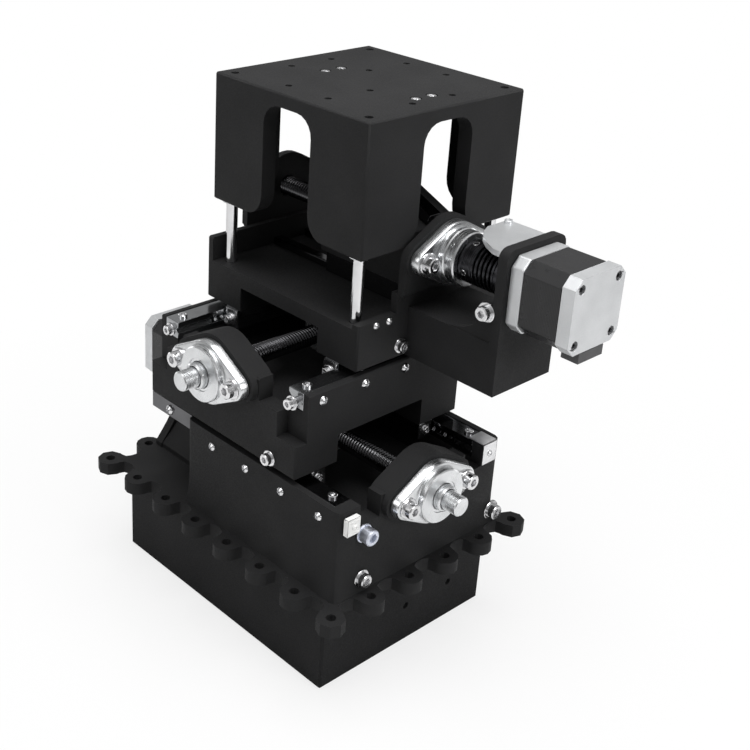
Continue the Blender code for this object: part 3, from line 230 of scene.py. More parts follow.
# Screws: the dark base colour is a painted reflection of dark surroundings
screw_x = ground_metal("screw_x_painted_dark_reflection", (0.12, 0.12, 0.125), 0.17, "YZ", 0.0005)
screw_y = ground_metal("screw_y_painted_dark_reflection", (0.10, 0.10, 0.105), 0.17, "XZ", 0.0005)
bearing_x = ground_metal("machined_bearing_x", (0.78, 0.79, 0.80), 0.26, "YZ", 0.0005)
bearing_y = ground_metal("machined_bearing_y", (0.78, 0.79, 0.80), 0.26, "XZ", 0.0005)
bolt_steel = ground_metal("bright_bolt", (0.8, 0.8, 0.81), 0.2, "X", 0.0008)
plate_steel = ground_metal("bright_plate", (0.86, 0.86, 0.87), 0.34, "YZ", 0.0008)
tinted_steel = ground_metal("blue_white_zinc", (0.74, 0.77, 0.86), 0.42, "X", 0.0008)
# Screws in the end caps' pockets: the dark colour is painted shade of the pockets
pocket_shade_steel = ground_metal("screw_painted_pocket_shade", (0.12, 0.12, 0.125), 0.3, "X", 0.0008)


def cast_alloy(name):
    material, tree, shader = new_finish(name, (0.66, 0.67, 0.68), 0.42, 0.8)
    speckle = grain(tree, 0.0009, 3.0)
    cloud = grain(tree, 0.02, 3.0)
    tree.links.new(tint_between(tree, cloud, (0.60, 0.61, 0.62), (0.69, 0.70, 0.71)),
                   shader.inputs["Base Color"])
    tree.links.new(ramp_between(tree, speckle, 0.36, 0.52), shader.inputs["Roughness"])
    add_relief(tree, shader, speckle, 0.00003, 0.6)
    return material


motor_alloy = cast_alloy("cast_motor_alloy")
print("metal finishes made:", len([m for m in bpy.data.materials if m.use_nodes]))

# %% [markdown]
# ## Dark finishes
# The motor's stack is thin steel sheets under black enamel, so it gets fine lines
# across the motor's axis. Cut into the mesh they would cost thousands of faces, so a
# wave texture draws them. The coupling is black anodized. The sockets are plain dark
# grey plastic and the end switch is white plastic.

# %% Laminated stack, coupling and plastics
def laminated(name, axis):
    """Enamel with bands across an axis, about one a millimetre."""
    material, tree, shader = new_finish(name, (0.020, 0.020, 0.021), 0.28, 0.1, 0.35)
    wave = tree.nodes.new("ShaderNodeTexWave")
    wave.bands_direction = axis
    wave.inputs["Scale"].default_value = 320.0
    wave.inputs["Distortion"].default_value = 0.4
    wave.inputs["Detail"].default_value = 1.0
    tree.links.new(place_of_point(tree), wave.inputs["Vector"])
    tree.links.new(tint_between(tree, wave.outputs["Fac"], (0.014, 0.014, 0.0145),
                                (0.026, 0.026, 0.027)), shader.inputs["Base Color"])
    tree.links.new(ramp_between(tree, grain(tree, 0.006), 0.26, 0.36),
                   shader.inputs["Roughness"])
    add_relief(tree, shader, wave.outputs["Fac"], 0.00003, 0.6)
    return material


stack_x = laminated("laminated_stack_x", "X")
stack_y = laminated("laminated_stack_y", "Y")
anodized = ground_metal("black_anodized", (0.055, 0.055, 0.06), 0.26, "YZ", 0.0007)


def moulded(name, dark, light, roughness):
    material, tree, shader = new_finish(name, light, roughness, specular=0.4)
    tree.links.new(tint_between(tree, grain(tree, 0.008), dark, light),
                   shader.inputs["Base Color"])
    fine = grain(tree, 0.0004, 2.0)
    tree.links.new(ramp_between(tree, fine, roughness * 0.85, roughness * 1.15),
                   shader.inputs["Roughness"])
    add_relief(tree, shader, fine, 0.00002, 0.5)
    return material


socket_plastic = moulded("socket_plastic", (0.05, 0.05, 0.052), (0.065, 0.065, 0.067), 0.5)
switch_plastic = moulded("switch_plastic", (0.72, 0.72, 0.71), (0.82, 0.82, 0.81), 0.35)
print("finishes made:", len([m for m in bpy.data.materials if m.use_nodes]))

# %% [markdown]
# ## Dress the solids that stay
# A solid whose shape is already right keeps its mesh. Its triangles come apart at their
# corners, so a Weld modifier joins them first, and a small node group shades it smooth
# except at real edges. Then a Bevel modifier rounds those edges, because a real edge is
# never sharp: the narrow band catches the light and draws the outline of each part.

# %% Finish and soften the carried solids
def smooth_by_angle(degrees):
    """Nodes that shade a mesh smooth and keep its steeper edges sharp."""
    group = bpy.data.node_groups.new("smooth_by_angle", "GeometryNodeTree")
    for way in ("INPUT", "OUTPUT"):
        group.interface.new_socket("Geometry", in_out=way, socket_type="NodeSocketGeometry")
    start = group.nodes.new("NodeGroupInput")
    faces = group.nodes.new("GeometryNodeSetShadeSmooth")
    edges = group.nodes.new("GeometryNodeSetShadeSmooth")
    edges.domain = "EDGE"
    edges.inputs["Shade Smooth"].default_value = False
    angle = group.nodes.new("GeometryNodeInputMeshEdgeAngle")
    steep = group.nodes.new("FunctionNodeCompare")
    steep.inputs["B"].default_value = math.radians(degrees)
    end = group.nodes.new("NodeGroupOutput")
    group.links.new(angle.outputs["Unsigned Angle"], steep.inputs["A"])
    group.links.new(steep.outputs["Result"], edges.inputs["Selection"])
    group.links.new(start.outputs[0], faces.inputs["Geometry"])
    group.links.new(faces.outputs["Geometry"], edges.inputs["Geometry"])
    group.links.new(edges.outputs["Geometry"], end.inputs[0])
    return group


shading = smooth_by_angle(36.0)


def dress(name, finish, edge):
    """Give a solid its finish, and round its edges over the width of edge."""
    node = nodes[name]
    for index in range(len(node.data.materials)):
        node.data.materials[index] = finish
    weld = node.modifiers.new("joined corners", "WELD")
    weld.merge_threshold = 0.00001
    node.modifiers.new("smooth by angle", "NODES").node_group = shading
    bevel = node.modifiers.new("soft edge", "BEVEL")
    bevel.width = edge
    bevel.segments = 2
    bevel.limit_method = "ANGLE"
    bevel.angle_limit = math.radians(40.0)
    bevel.use_clamp_overlap = True
    bevel.harden_normals = True


STAGES = ("lower", "middle", "upper")
for name in ("middle_body", "upper_body", "wedge", "table_block"):
    dress(name, printed, 0.0004)
# The lower body's and the base block's darker copies are painted shade, the table's lighter
# one painted light
dress("lower_body", shaded_lower_finish, 0.0004)
dress("table", lit_table_finish, 0.0005)
dress("base_block", shaded_block_finish, 0.0005)
for stage in STAGES:
    along_y = stage == "middle"
    dress(stage + "_motor_flange", motor_alloy, 0.0009)
    dress(stage + "_motor_cap", motor_alloy, 0.0009)
    dress(stage + "_motor_core", stack_y if along_y else stack_x, 0.0006)
    dress(stage + "_motor_socket", socket_plastic, 0.0003)
    dress(stage + "_motor_shaft", pin_steel, 0.0003)
# Rails, sliders and carriages in X take the dark rail finish, a painted dark reflection
for side in ("left", "right"):
    for name in ("lower_rail_", "middle_slider_", "floor_rail_", "wedge_carriage_"):
        dress(name + side, rail_x, 0.0004)
    for name in ("middle_rail_", "upper_slider_"):
        dress(name + side, rail_y, 0.0004)
for name in ("incline_rail", "incline_carriage"):
    dress(name, rail_x, 0.0004)
for name in ("lower_nut", "middle_nut", "wedge_nut"):
    dress(name, bearing_x, 0.0005)
for index in range(1, 5):
    dress("guide_bushing_%d" % index, bearing_x, 0.0003)
dress("limit_switch", switch_plastic, 0.0004)
print("dressed solids:", sum(1 for n in nodes.values() if n.modifiers))

# %% [markdown]
# ## Building pieces
# Nearly every machined piece is a stack of outlines joined by a skin: a bolt head is a
# stack of circles, its socket a stack of hexagons, a flange a stack of rounded
# rhombuses. So one helper that skins outlines makes most of what follows.

# %% Outlines and skins
def ring(radius, count):
    """Points on a circle."""
    return [(radius * math.cos(2 * math.pi * i / count),
             radius * math.sin(2 * math.pi * i / count)) for i in range(count)]


def hexagon(half_width, count):
    """Points spread round a hexagon, so that it can be skinned to a ring."""
    points = []
    for i in range(count):
        angle = 2 * math.pi * i / count
        fold = (angle % (math.pi / 3)) - math.pi / 6
        radius = half_width / math.cos(fold)
        points.append((radius * math.cos(angle), radius * math.sin(angle)))
    return points


def skin(bm, loops, place, tube=False):
    """Join outlines, each with its height, into a closed skin with caps or a tube."""
    rings = [[bm.verts.new(place @ Vector((u, v, height))) for u, v in outline]
             for outline, height in loops]
    count = len(rings[0])
    pairs = list(zip(rings, rings[1:]))
    if tube:
        pairs.append((rings[-1], rings[0]))
    for low, high in pairs:
        for i in range(count):
            j = (i + 1) % count
            bm.faces.new((low[i], low[j], high[j], high[i]))
    if not tube:
        bm.faces.new(list(reversed(rings[0])))
        bm.faces.new(rings[-1])


def turned_piece(bm, profile, place, count=32, tube=False):
    """A turned shape from pairs of radius and height."""
    skin(bm, [(ring(radius, count), height) for radius, height in profile], place, tube)


def facing(point, direction):
    """A matrix at a point whose Z axis looks along a direction."""
    turn = Vector(direction).to_track_quat("Z", "Y").to_matrix().to_4x4()
    return Matrix.Translation(point) @ turn


def new_piece(name, build, finish, body, smooth=32.0):
    """Make a mesh with build(bm), shade it, and let it ride on a body."""
    bm = bmesh.new()
    build(bm)
    bmesh.ops.recalc_face_normals(bm, faces=bm.faces)
    mesh = bpy.data.meshes.new(name)
    bm.to_mesh(mesh)
    bm.free()
    mesh.materials.append(finish)
    mesh.shade_smooth()
    mesh.set_sharp_from_angle(angle=math.radians(smooth))
    piece = bpy.data.objects.new(name, mesh)
    scene.collection.objects.link(piece)
    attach(piece, body)
    return piece


# At rest the middle and the upper stage are centred here in X, the upper one in Y too
CENTRE_X = -0.005
CENTRE_Y = 0.040
# Each stage's own axes: X runs along its screw towards the motor
STAGE_AXES = {
    "lower": Matrix.Translation((0.031, 0.0, 0.112)) @ Matrix.Rotation(math.pi, 4, "Z"),
    "middle": (Matrix.Translation((CENTRE_X, 0.0, 0.165))
               @ Matrix.Rotation(math.pi / 2, 4, "Z")),
    "upper": Matrix.Translation((CENTRE_X, CENTRE_Y, 0.2345)),
}
FIXED_BODY = {"lower": "base", "middle": "middle_stage", "upper": "upper_stage"}
DRIVE_BODY = {"lower": "lower_drive", "middle": "middle_drive", "upper": "upper_drive"}
# Turns the Z axis of a turned shape to the stage's X axis
TO_SCREW = Matrix(((0, 0, 1, 0), (1, 0, 0, 0), (0, 1, 0, 0), (0, 0, 0, 1)))
for stage, axes in STAGE_AXES.items():
    print(stage, "screw starts towards", [round(v, 2) for v in axes.col[0][:3]])

# %% [markdown]
# ## Guide pins
# The table stands on the wedge alone, and four ground pins in its bushings keep it
# level. A cylinder primitive would have sharp rims. A pin is a turned shape, so it is
# skinned from circles, with a small chamfer where it enters the body and at its top.

# %% Ground guide pins
CORNERS = [(a, b) for a in (-1, 1) for b in (-1, 1)]
PIN_RADIUS = 0.0035
PIN_OFFSET = 0.0545


def guide_pin(bm, x, y):
    low, high = 0.1944, 0.2860
    turned_piece(bm, [(PIN_RADIUS - 0.0002, low), (PIN_RADIUS, low + 0.0002),
                      (PIN_RADIUS, high - 0.0006), (PIN_RADIUS - 0.0006, high)],
                 Matrix.Translation((x, y, 0.0)), 40)


for index, (a, b) in enumerate(CORNERS, 1):
    x, y = CENTRE_X + a * PIN_OFFSET, CENTRE_Y + b * PIN_OFFSET
    pin = new_piece("ground_pin_%d" % index, lambda bm: guide_pin(bm, x, y), pin_steel,
                    "upper_stage")
    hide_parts("guide_pin_%d" % index)
print("guide pins made:", len(CORNERS))

# %% [markdown]
# ## Screws
# The screw has two starts: two grooves wind along it side by side, 2 mm apart, so one
# turn still moves the nut 4 mm. It could be made with a Screw modifier, but a grid
# whose radius dips where a groove passes is simpler to end cleanly.

# %% Threaded screws
SCREW_RADIUS = 0.006
SCREW_LEAD = 0.004
STARTS = 2
GROOVE_DEPTH = 0.0008
THREAD_HALF = 0.0700
STEPS_PER_GROOVE = 8


def groove_dip(share):
    """How deep the groove is at a share of the way from one crest to the next."""
    half_wide, flank = 0.40, 0.22
    offset = abs(share - 0.5)
    return GROOVE_DEPTH * min(1.0, max(0.0, (half_wide - offset) / flank))


def threaded_screw(bm, place):
    """Far journal, thread and the shank to the coupling, as one skin."""
    count = 28
    start, end = -THREAD_HALF, THREAD_HALF
    journal = [(0.0048, -0.0938), (0.0052, -0.0848), (SCREW_RADIUS, -0.0845),
               (SCREW_RADIUS, start - 0.0002)]
    shank = [(SCREW_RADIUS, end + 0.0002), (SCREW_RADIUS, 0.1022), (0.0055, 0.1027)]
    loops = [(ring(radius, count), along) for radius, along in journal]
    steps = int((end - start) / SCREW_LEAD * STARTS * STEPS_PER_GROOVE)
    for step in range(steps + 1):
        along = start + (end - start) * step / steps
        outline = []
        for i in range(count):
            share = STARTS * (along / SCREW_LEAD - i / count) % 1.0
            radius = SCREW_RADIUS - groove_dip(share)
            angle = 2 * math.pi * i / count
            outline.append((radius * math.cos(angle), radius * math.sin(angle)))
        loops.append((outline, along))
    loops += [(ring(radius, count), along) for radius, along in shank]
    skin(bm, loops, place)


for stage in STAGES:
    place = STAGE_AXES[stage] @ TO_SCREW
    # The screw's dark finish is a painted dark reflection
    finish = screw_y if stage == "middle" else screw_x
    screw = new_piece(stage + "_threaded_screw", lambda bm: threaded_screw(bm, place),
                      finish, DRIVE_BODY[stage], 50.0)
    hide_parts(stage + "_screw")
    print(screw.name, len(screw.data.polygons), "faces")

# %% [markdown]
# ## Flanged bearings
# Each bearing sits in a rhombic flange with a raised hub. The flange is a stack of
# the same outline, drawn in a little at top and bottom so that its rim is rounded.
# The hub is turned: a foot, a barrel and a flat face with a shallow recess for the
# inner ring. A Boolean could weld the two, but it is enough that they overlap.

# %% Bearing housings
# How far the bearing walls are from the stage's middle, and the housing's own measures
FLANGE_AT = 0.0706
FLANGE_THICK = 0.0060
HUB_TOP = 0.0105
BOLT_OFFSET = 0.024


def rhombus(middle, end, pitch):
    """Outline round two small end circles and one large middle circle."""
    lean = math.acos((middle - end) / pitch)
    steps = 12
    points = []
    for centre, radius, start, stop in (
            (pitch, end, -lean, lean), (0.0, middle, lean, math.pi - lean),
            (-pitch, end, math.pi - lean, math.pi + lean),
            (0.0, middle, math.pi + lean, 2 * math.pi - lean)):
        for step in range(steps + 1):
            angle = start + (stop - start) * step / steps
            points.append((centre + radius * math.cos(angle), radius * math.sin(angle)))
    return points


def bearing_housing(bm, place):
    """Flange and hub, which stand on height 0 with the shaft's axis as Z."""
    def outline(inset):
        return rhombus(0.019 - inset, 0.0075 - inset, BOLT_OFFSET)
    skin(bm, [(outline(0.0003), 0.0), (outline(0.0), 0.0004),
              (outline(0.0), FLANGE_THICK - 0.0010), (outline(0.0003), FLANGE_THICK - 0.0004),
              (outline(0.0010), FLANGE_THICK)], place)
    bore, barrel, foot = 0.0082, 0.0165, 0.0174
    root, recess = FLANGE_THICK - 0.0008, HUB_TOP - 0.0006
    turned_piece(bm, [(bore, root), (foot, root), (foot - 0.0001, FLANGE_THICK),
                      (barrel, FLANGE_THICK + 0.0004), (barrel, HUB_TOP - 0.0007),
                      (barrel - 0.0006, HUB_TOP), (bore + 0.0016, HUB_TOP),
                      (bore + 0.0013, recess), (bore, recess)], place, 64, True)


def flange_seat(axes, side):
    """A bearing's seat on one side of a stage: Z runs outwards along the screw."""
    seat = axes @ Matrix.Translation((side * FLANGE_AT, 0.0, 0.0))
    if side < 0:
        seat = seat @ Matrix.Rotation(math.pi, 4, "Z")
    return seat @ TO_SCREW


for stage in STAGES:
    finish = bearing_y if stage == "middle" else bearing_x
    for label, side in (("far", -1), ("near", 1)):
        place = flange_seat(STAGE_AXES[stage], side)
        housing = new_piece("%s_%s_housing" % (stage, label),
                            lambda bm: bearing_housing(bm, place), finish,
                            FIXED_BODY[stage])
        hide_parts("%s_%s_bearing" % (stage, label))
print("six bearing housings made")

# %% [markdown]
# ## Rings that turn with the screw
# At the far end a small ring stands proud of the hub, with two set screws that grip the
# screw, and the screw's finely threaded end sticks out of it. At the coupling's end a
# wider collar fills the gap between hub and coupling. Rings are tubes, and each set
# screw is a short cylinder with a hexagonal socket.

# %% Rings with set screws
def socket_screw(bm, place, radius, high, socket, deep, count=24):
    """A head whose seat is at height 0, with a hexagonal socket of half width socket."""
    edge = radius * 0.12
    skin(bm, [(ring(radius, count), 0.0),
              (ring(radius, count), high - edge),
              (ring(radius - edge, count), high),
              (hexagon(socket * 1.08, count), high),
              (hexagon(socket, count), high - 0.0002),
              (hexagon(socket, count), high - deep),
              (ring(socket * 0.3, count), high - deep * 1.25)], place)


def radial_screw(bm, place, turn, radius, along, *head):
    """A socket screw set into a round piece, at an angle in degrees round its axis."""
    angle = math.radians(turn)
    out = Vector((math.cos(angle), math.sin(angle), 0.0))
    point = place @ (out * radius + Vector((0.0, 0.0, along)))
    socket_screw(bm, facing(point, place.to_3x3() @ out), *head, 12)


def threaded_end(bm, place):
    """The screw's end beyond the small ring, with eight grooves for its fine thread."""
    crest, root = 0.0058, 0.0054
    profile = [(crest, 0.0140)]
    for step in range(8):
        along = 0.0149 + step * 0.0010
        profile += [(crest, along), (root, along + 0.0002), (root, along + 0.0004),
                    (crest, along + 0.0006)]
    turned_piece(bm, [*profile, (crest, 0.0234), (0.0052, 0.0240)], place, 40)


def inner_rings(bm, axes):
    """A sleeve through each housing, with the small ring or the wide collar on it."""
    bore, sleeve = 0.0061, 0.0078
    for side, wide, top in ((-1, sleeve, 0.0143), (1, 0.0160, 0.0170)):
        place = flange_seat(axes, side)
        turned_piece(bm, [(bore, 0.0), (sleeve, 0.0), (sleeve, HUB_TOP + 0.0003),
                          (wide, HUB_TOP + 0.0004), (wide, top - 0.0007),
                          (wide - 0.0007, top), (bore + 0.0007, top),
                          (bore, top - 0.0006)], place, 48, True)
        if side < 0:
            threaded_end(bm, place)
        for turn in (20.0, 140.0):
            radial_screw(bm, place, turn, wide - 0.0010, 0.0124, 0.0013, 0.0011, 0.0007,
                         0.0007)


for stage in STAGES:
    finish = bearing_y if stage == "middle" else bearing_x
    new_piece(stage + "_inner_rings", lambda bm: inner_rings(bm, STAGE_AXES[stage]), finish,
              DRIVE_BODY[stage])
print("inner rings made for", len(STAGES), "screws")

# %% [markdown]
# ## Helical couplings
# A helical coupling is one sleeve with a slit that winds round it, so it can bend but
# not twist. Cutting the slit with a Boolean would be slow and fragile. A bar swept
# along a helix between two plain clamps gives the same shape with clean faces.

# %% Slit couplings
COUPLING_START = 0.088
COUPLING_LONG = 0.030
COUPLING_RADIUS = 0.0125


def coil(bm, place, start, end, pitch, wide, inner, outer):
    """A bar of the width wide, swept along a helix between two radii."""
    steps_per_turn = 32
    turns = (end - start) / pitch
    steps = int(turns * steps_per_turn)
    edge = 0.0003
    section = [(inner, -wide / 2), (outer - edge, -wide / 2), (outer, -wide / 2 + edge),
               (outer, wide / 2 - edge), (outer - edge, wide / 2), (inner, wide / 2)]
    previous = None
    for step in range(steps + 1):
        angle = 2 * math.pi * step / steps_per_turn
        along = start + pitch * step / steps_per_turn
        loop = [bm.verts.new(place @ Vector((r * math.cos(angle), r * math.sin(angle),
                                             along + h))) for r, h in section]
        if previous:
            for i in range(len(loop)):
                j = (i + 1) % len(loop)
                bm.faces.new((previous[i], previous[j], loop[j], loop[i]))
        else:
            bm.faces.new(list(reversed(loop)))
        previous = loop
    bm.faces.new(previous)


def slit_coupling(bm, place):
    """Two clamps, the bar wound between them and a thin tube inside it."""
    end = COUPLING_START + COUPLING_LONG
    outer = COUPLING_RADIUS
    for low, high, bore in ((COUPLING_START, COUPLING_START + 0.0085, 0.0062),
                            (end - 0.0055, end, 0.0027)):
        turned_piece(bm, [(bore, low), (outer - 0.0006, low), (outer, low + 0.0006),
                          (outer, high - 0.0003), (outer - 0.0003, high), (bore, high)],
                     place, 48, True)
    coil_low, coil_high = COUPLING_START + 0.0080, end - 0.0050
    coil(bm, place, coil_low, coil_high, 0.0029, 0.0017, 0.0072, outer)
    turned_piece(bm, [(0.0063, coil_low), (0.0076, coil_low), (0.0076, coil_high),
                      (0.0063, coil_high)], place, 32, True)


def coupling_screws(bm, place):
    for along, turns in ((COUPLING_START + 0.0042, (15.0, 105.0, 195.0, 285.0)),
                         (COUPLING_START + COUPLING_LONG - 0.0026, (60.0, 240.0))):
        for turn in turns:
            radial_screw(bm, place, turn, COUPLING_RADIUS - 0.0010, along, 0.0019, 0.0011,
                         0.001, 0.0009)


for stage in STAGES:
    place = STAGE_AXES[stage] @ TO_SCREW
    body = new_piece(stage + "_slit_coupling", lambda bm: slit_coupling(bm, place),
                     anodized, DRIVE_BODY[stage], 40.0)
    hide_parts(stage + "_coupling")
    new_piece(stage + "_coupling_screws", lambda bm: coupling_screws(bm, place),
              bolt_steel, DRIVE_BODY[stage])
print("couplings made")

# %% [markdown]
# ## Guards over the couplings
# The upper and the middle coupling lie under a light cast guard: a plate at the height
# of the motor's top with one corner cut away, a wall behind it and two posts against
# the bracket. A plane with Solidify could make the plate, but every part here is flat
# sided, so each is an outline in the stage's own axes, raised to its height.

# %% Cast guards
# Along the stage's X axis: the inner face of the motor's bracket, and of the posts
BRACKET_FACE = 0.1245
POST_FACE = 0.1221


def coupling_guard(bm, axes, way):
    """way is the side of the stage on which the guard's wall stands."""
    def raised(outline, low, high):
        points = [(u, way * v) for u, v in outline]
        middle = (sum(u for u, _ in points) / len(points),
                  sum(v for _, v in points) / len(points))
        inner = [tuple(c + (m - c) * 0.02 for c, m in zip(point, middle))
                 for point in points]
        skin(bm, [(points, low), (points, high - 0.0004), (inner, high)], axes)

    def block(x_low, x_high, y_low, y_high, low, high):
        raised([(x_low, y_low), (x_high, y_low), (x_high, y_high), (x_low, y_high)], low,
               high)

    start, end, half_wide = 0.0935, BRACKET_FACE - 0.0001, 0.0210
    foot, under, top = -0.0080, 0.0181, 0.0211
    raised([(end, -half_wide), (end, half_wide), (start, half_wide), (start, 0.0030),
            (0.0968, -0.0040), (0.1020, -0.0105), (0.1090, -0.0160), (0.1170, -0.0203)],
           under, top)
    block(start + 0.0002, end - 0.0001, 0.0186, half_wide - 0.0001, foot, under + 0.0004)
    for y in (-0.0172, 0.0172):
        block(POST_FACE, end - 0.0001, y - 0.0036, y + 0.0036, foot, under + 0.0004)
    screw_seat = axes @ Matrix.Translation((0.0968, way * 0.0170, top - 0.0001))
    socket_screw(bm, screw_seat, 0.0024, 0.0018, 0.0012, 0.0010)


for stage, way in (("upper", 1), ("middle", -1)):
    new_piece(stage + "_coupling_guard",
              lambda bm: coupling_guard(bm, STAGE_AXES[stage], way), motor_alloy,
              FIXED_BODY[stage])
print("guards made")

# %% [markdown]
# ## Flange bolts
# Each flange is held by two socket screws with a flat washer. Every bolt could be an
# object of its own, but the bolts of a stage share a body and a finish, so they are one
# piece.

# %% Bolts and washers
def washer(bm, place, inner, outer, thick):
    turned_piece(bm, [(inner, 0.0), (outer, 0.0), (outer, thick * 0.75),
                      (outer - thick * 0.3, thick), (inner, thick)], place, tube=True)


def bolt_with_washer(bm, place, scale=1.0):
    washer(bm, place, 0.0020 * scale, 0.0047 * scale, 0.0009 * scale)
    high = place @ Matrix.Translation((0.0, 0.0, 0.0008 * scale))
    socket_screw(bm, high, 0.0035 * scale, 0.0036 * scale, 0.0016 * scale,
                 0.0018 * scale)


def flange_bolts(bm, axes):
    for side in (-1, 1):
        for way in (-1, 1):
            point = axes @ Vector((side * (FLANGE_AT + FLANGE_THICK),
                                   way * BOLT_OFFSET, 0.0))
            direction = axes.to_3x3() @ Vector((side, 0.0, 0.0))
            bolt_with_washer(bm, facing(point, direction), 1.32)


for stage in STAGES:
    new_piece(stage + "_flange_bolts", lambda bm: flange_bolts(bm, STAGE_AXES[stage]),
              bolt_steel, FIXED_BODY[stage])
print("flange bolts:", 4 * len(STAGES))

# %% [markdown]
# ## Roller cages
# Between a fixed rail and the slider inside it, short rollers lie crossed in the
# square channel that the two vee grooves make. A thin strip keeps them apart. Where
# the slider doesn't cover the rail, the strip and its rollers can be seen. They could
# be an Array, but every second roller leans the other way, so a loop sets them.

# %% Cages with crossed rollers
CAGE_OFFSET = 0.04975
CAGE_HEIGHT = 0.00145
CAGE_END = 0.100
ROLLER_STEP = 0.0045


def roller_cage(bm, axes, way, low, high):
    """The strip and its rollers, on one side of the screw and a little above it."""
    middle = way * CAGE_OFFSET
    half_thick, half_wide = 0.00015, 0.0014
    outline = [(-half_thick, -half_wide), (half_thick, -half_wide),
               (half_thick, half_wide), (-half_thick, half_wide)]
    strip = axes @ Matrix.Translation((0.0, middle, CAGE_HEIGHT)) @ TO_SCREW
    skin(bm, [(outline, low), (outline, high)], strip)
    for index in range(int((high - low) / ROLLER_STEP)):
        along = low + 0.003 + index * ROLLER_STEP
        lean = math.radians(45.0 if index % 2 else -45.0)
        spot = axes @ Matrix.Translation((along, middle, CAGE_HEIGHT))
        spot = spot @ Matrix.Rotation(lean, 4, "X")
        turned_piece(bm, [(0.0010, -0.0013), (0.0012, -0.0011), (0.0012, 0.0011),
                          (0.0010, 0.0013)], spot, 12)


for stage, start in (("lower", -0.045), ("middle", -0.033)):
    # The lower cages take the dark rail finish, a painted dark reflection
    finish = rail_y if stage == "middle" else rail_x
    new_piece(stage + "_roller_cages",
              lambda bm: [roller_cage(bm, STAGE_AXES[stage], way, start, CAGE_END)
                          for way in (-1, 1)],
              finish, FIXED_BODY[stage])
print("roller cages made")

# %% [markdown]
# ## Screws in the printed bodies
# The rails are bolted through the side walls, and the bearings' walls and the arms
# carry more screws. Each could be turned by hand to its wall. A point and the way it
# faces say the same in one line.

# %% Body screws
# Half the width of a printed body, and the lower body's end face towards +X
HALF_WIDTH = 0.066
END_FACE = 0.0974
PLUS_X = (1.0, 0.0, 0.0)
MINUS_X = (-1.0, 0.0, 0.0)
MINUS_Y = (0.0, -1.0, 0.0)


def small_screw(bm, point, direction, scale=1.0):
    """A button head: a low dome with a small hexagon in it."""
    radius, high, count = 0.0027 * scale, 0.0018 * scale, 24
    dome = [(ring(radius * math.cos(turn), count), high * (0.2 + 0.8 * math.sin(turn)))
            for turn in (0.0, 0.35, 0.7, 1.0)]
    skin(bm, [(ring(radius, count), 0.0), *dome, (hexagon(radius * 0.42, count), high),
              (hexagon(radius * 0.38, count), high * 0.5)], facing(point, direction))


def lower_screws(bm):
    for way in (-1, 1):
        for x in (-0.0105, 0.0200, 0.0505, 0.0815):
            small_screw(bm, (x, way * HALF_WIDTH, 0.1105), (0.0, way, 0.0))
    for y, scale in ((-0.0464, 1.15), (0.0632, 1.3)):
        bolt_with_washer(bm, facing((END_FACE, y, 0.0705), PLUS_X), scale)


def middle_screws(bm):
    for way in (-1, 1):
        for y in (0.0485, 0.0165, -0.0155, -0.0475):
            small_screw(bm, (CENTRE_X + way * HALF_WIDTH, y, 0.1663), (way, 0.0, 0.0), 1.1)
    bolt_with_washer(bm, facing((0.0402, -HALF_WIDTH, 0.1272), MINUS_Y))
    bolt_with_washer(bm, facing((CENTRE_X - HALF_WIDTH, -0.0585, 0.1272), MINUS_X))


def upper_screws(bm):
    for way in (1, -1):
        x, out = CENTRE_X + way * HALF_WIDTH, (way, 0.0, 0.0)
        for offset in (-0.0500, -0.0400):
            small_screw(bm, (x, CENTRE_Y + way * offset, 0.2002), out, 0.85)
        bolt_with_washer(bm, facing((x, CENTRE_Y - way * 0.0295, 0.1825), out))
    bolt_with_washer(bm, facing((CENTRE_X - HALF_WIDTH, -0.0015, 0.1828), MINUS_X))
    bolt_with_washer(bm, facing((0.116, 0.0155, 0.222), MINUS_Y), 1.2)


for name, build, body in (("lower_wall_screws", lower_screws, "base"),
                          ("middle_wall_screws", middle_screws, "middle_stage"),
                          ("upper_wall_screws", upper_screws, "upper_stage")):
    new_piece(name, build, bolt_steel, body)
print("wall screws made")

# %% [markdown]
# ## Screws and plates on the guides
# The fixed rails are screwed down from above, each slider has a small plate and a screw
# on its end that keeps the rollers in, and the rails' ends carry stop screws. These
# bright heads are what the eye finds first on the dark guides, so they are real shapes
# and not drawn on.

# %% Rail screws
# How far the rails' screws are from the stage's axis, and how high the rails' tops are
RAIL_OFFSET = 0.0558
LOWER_RAIL_TOP = 0.1187
MIDDLE_RAIL_TOP = 0.1717
UP = (0.0, 0.0, 1.0)


def rail_head(bm, point):
    """A cap screw that sits on a rail's top."""
    socket_screw(bm, facing(point, UP), 0.0028, 0.0016, 0.0013, 0.0012)


def lower_rail_screws(bm):
    for way in (-1, 1):
        for x in (0.081, 0.041, 0.001, -0.039, -0.069):
            rail_head(bm, (x, way * RAIL_OFFSET, LOWER_RAIL_TOP))
        small_screw(bm, (-0.0575, way * 0.0617, 0.1130), (0.0, way, 0.0), 1.2)


def stop_screw(bm, point, direction, proud):
    """A screw that stands out of a rail's end, with a washer under its head."""
    place = facing(point, direction)
    turned_piece(bm, [(0.0024, 0.0), (0.0024, proud)], place, 20)
    bolt_with_washer(bm, place @ Matrix.Translation((0.0, 0.0, proud - 0.0005)), 0.92)


def middle_rail_screws(bm):
    for way in (-1, 1):
        for y in (-0.050, -0.010, 0.030, 0.070, 0.100):
            rail_head(bm, (CENTRE_X + way * RAIL_OFFSET, y, MIDDLE_RAIL_TOP))
    offset, end_y = 0.0572, -0.0580
    bolt_with_washer(bm, facing((CENTRE_X - offset, end_y, 0.1650), MINUS_Y), 0.85)
    stop_screw(bm, (CENTRE_X + offset, end_y, 0.1660), MINUS_Y, 0.0045)


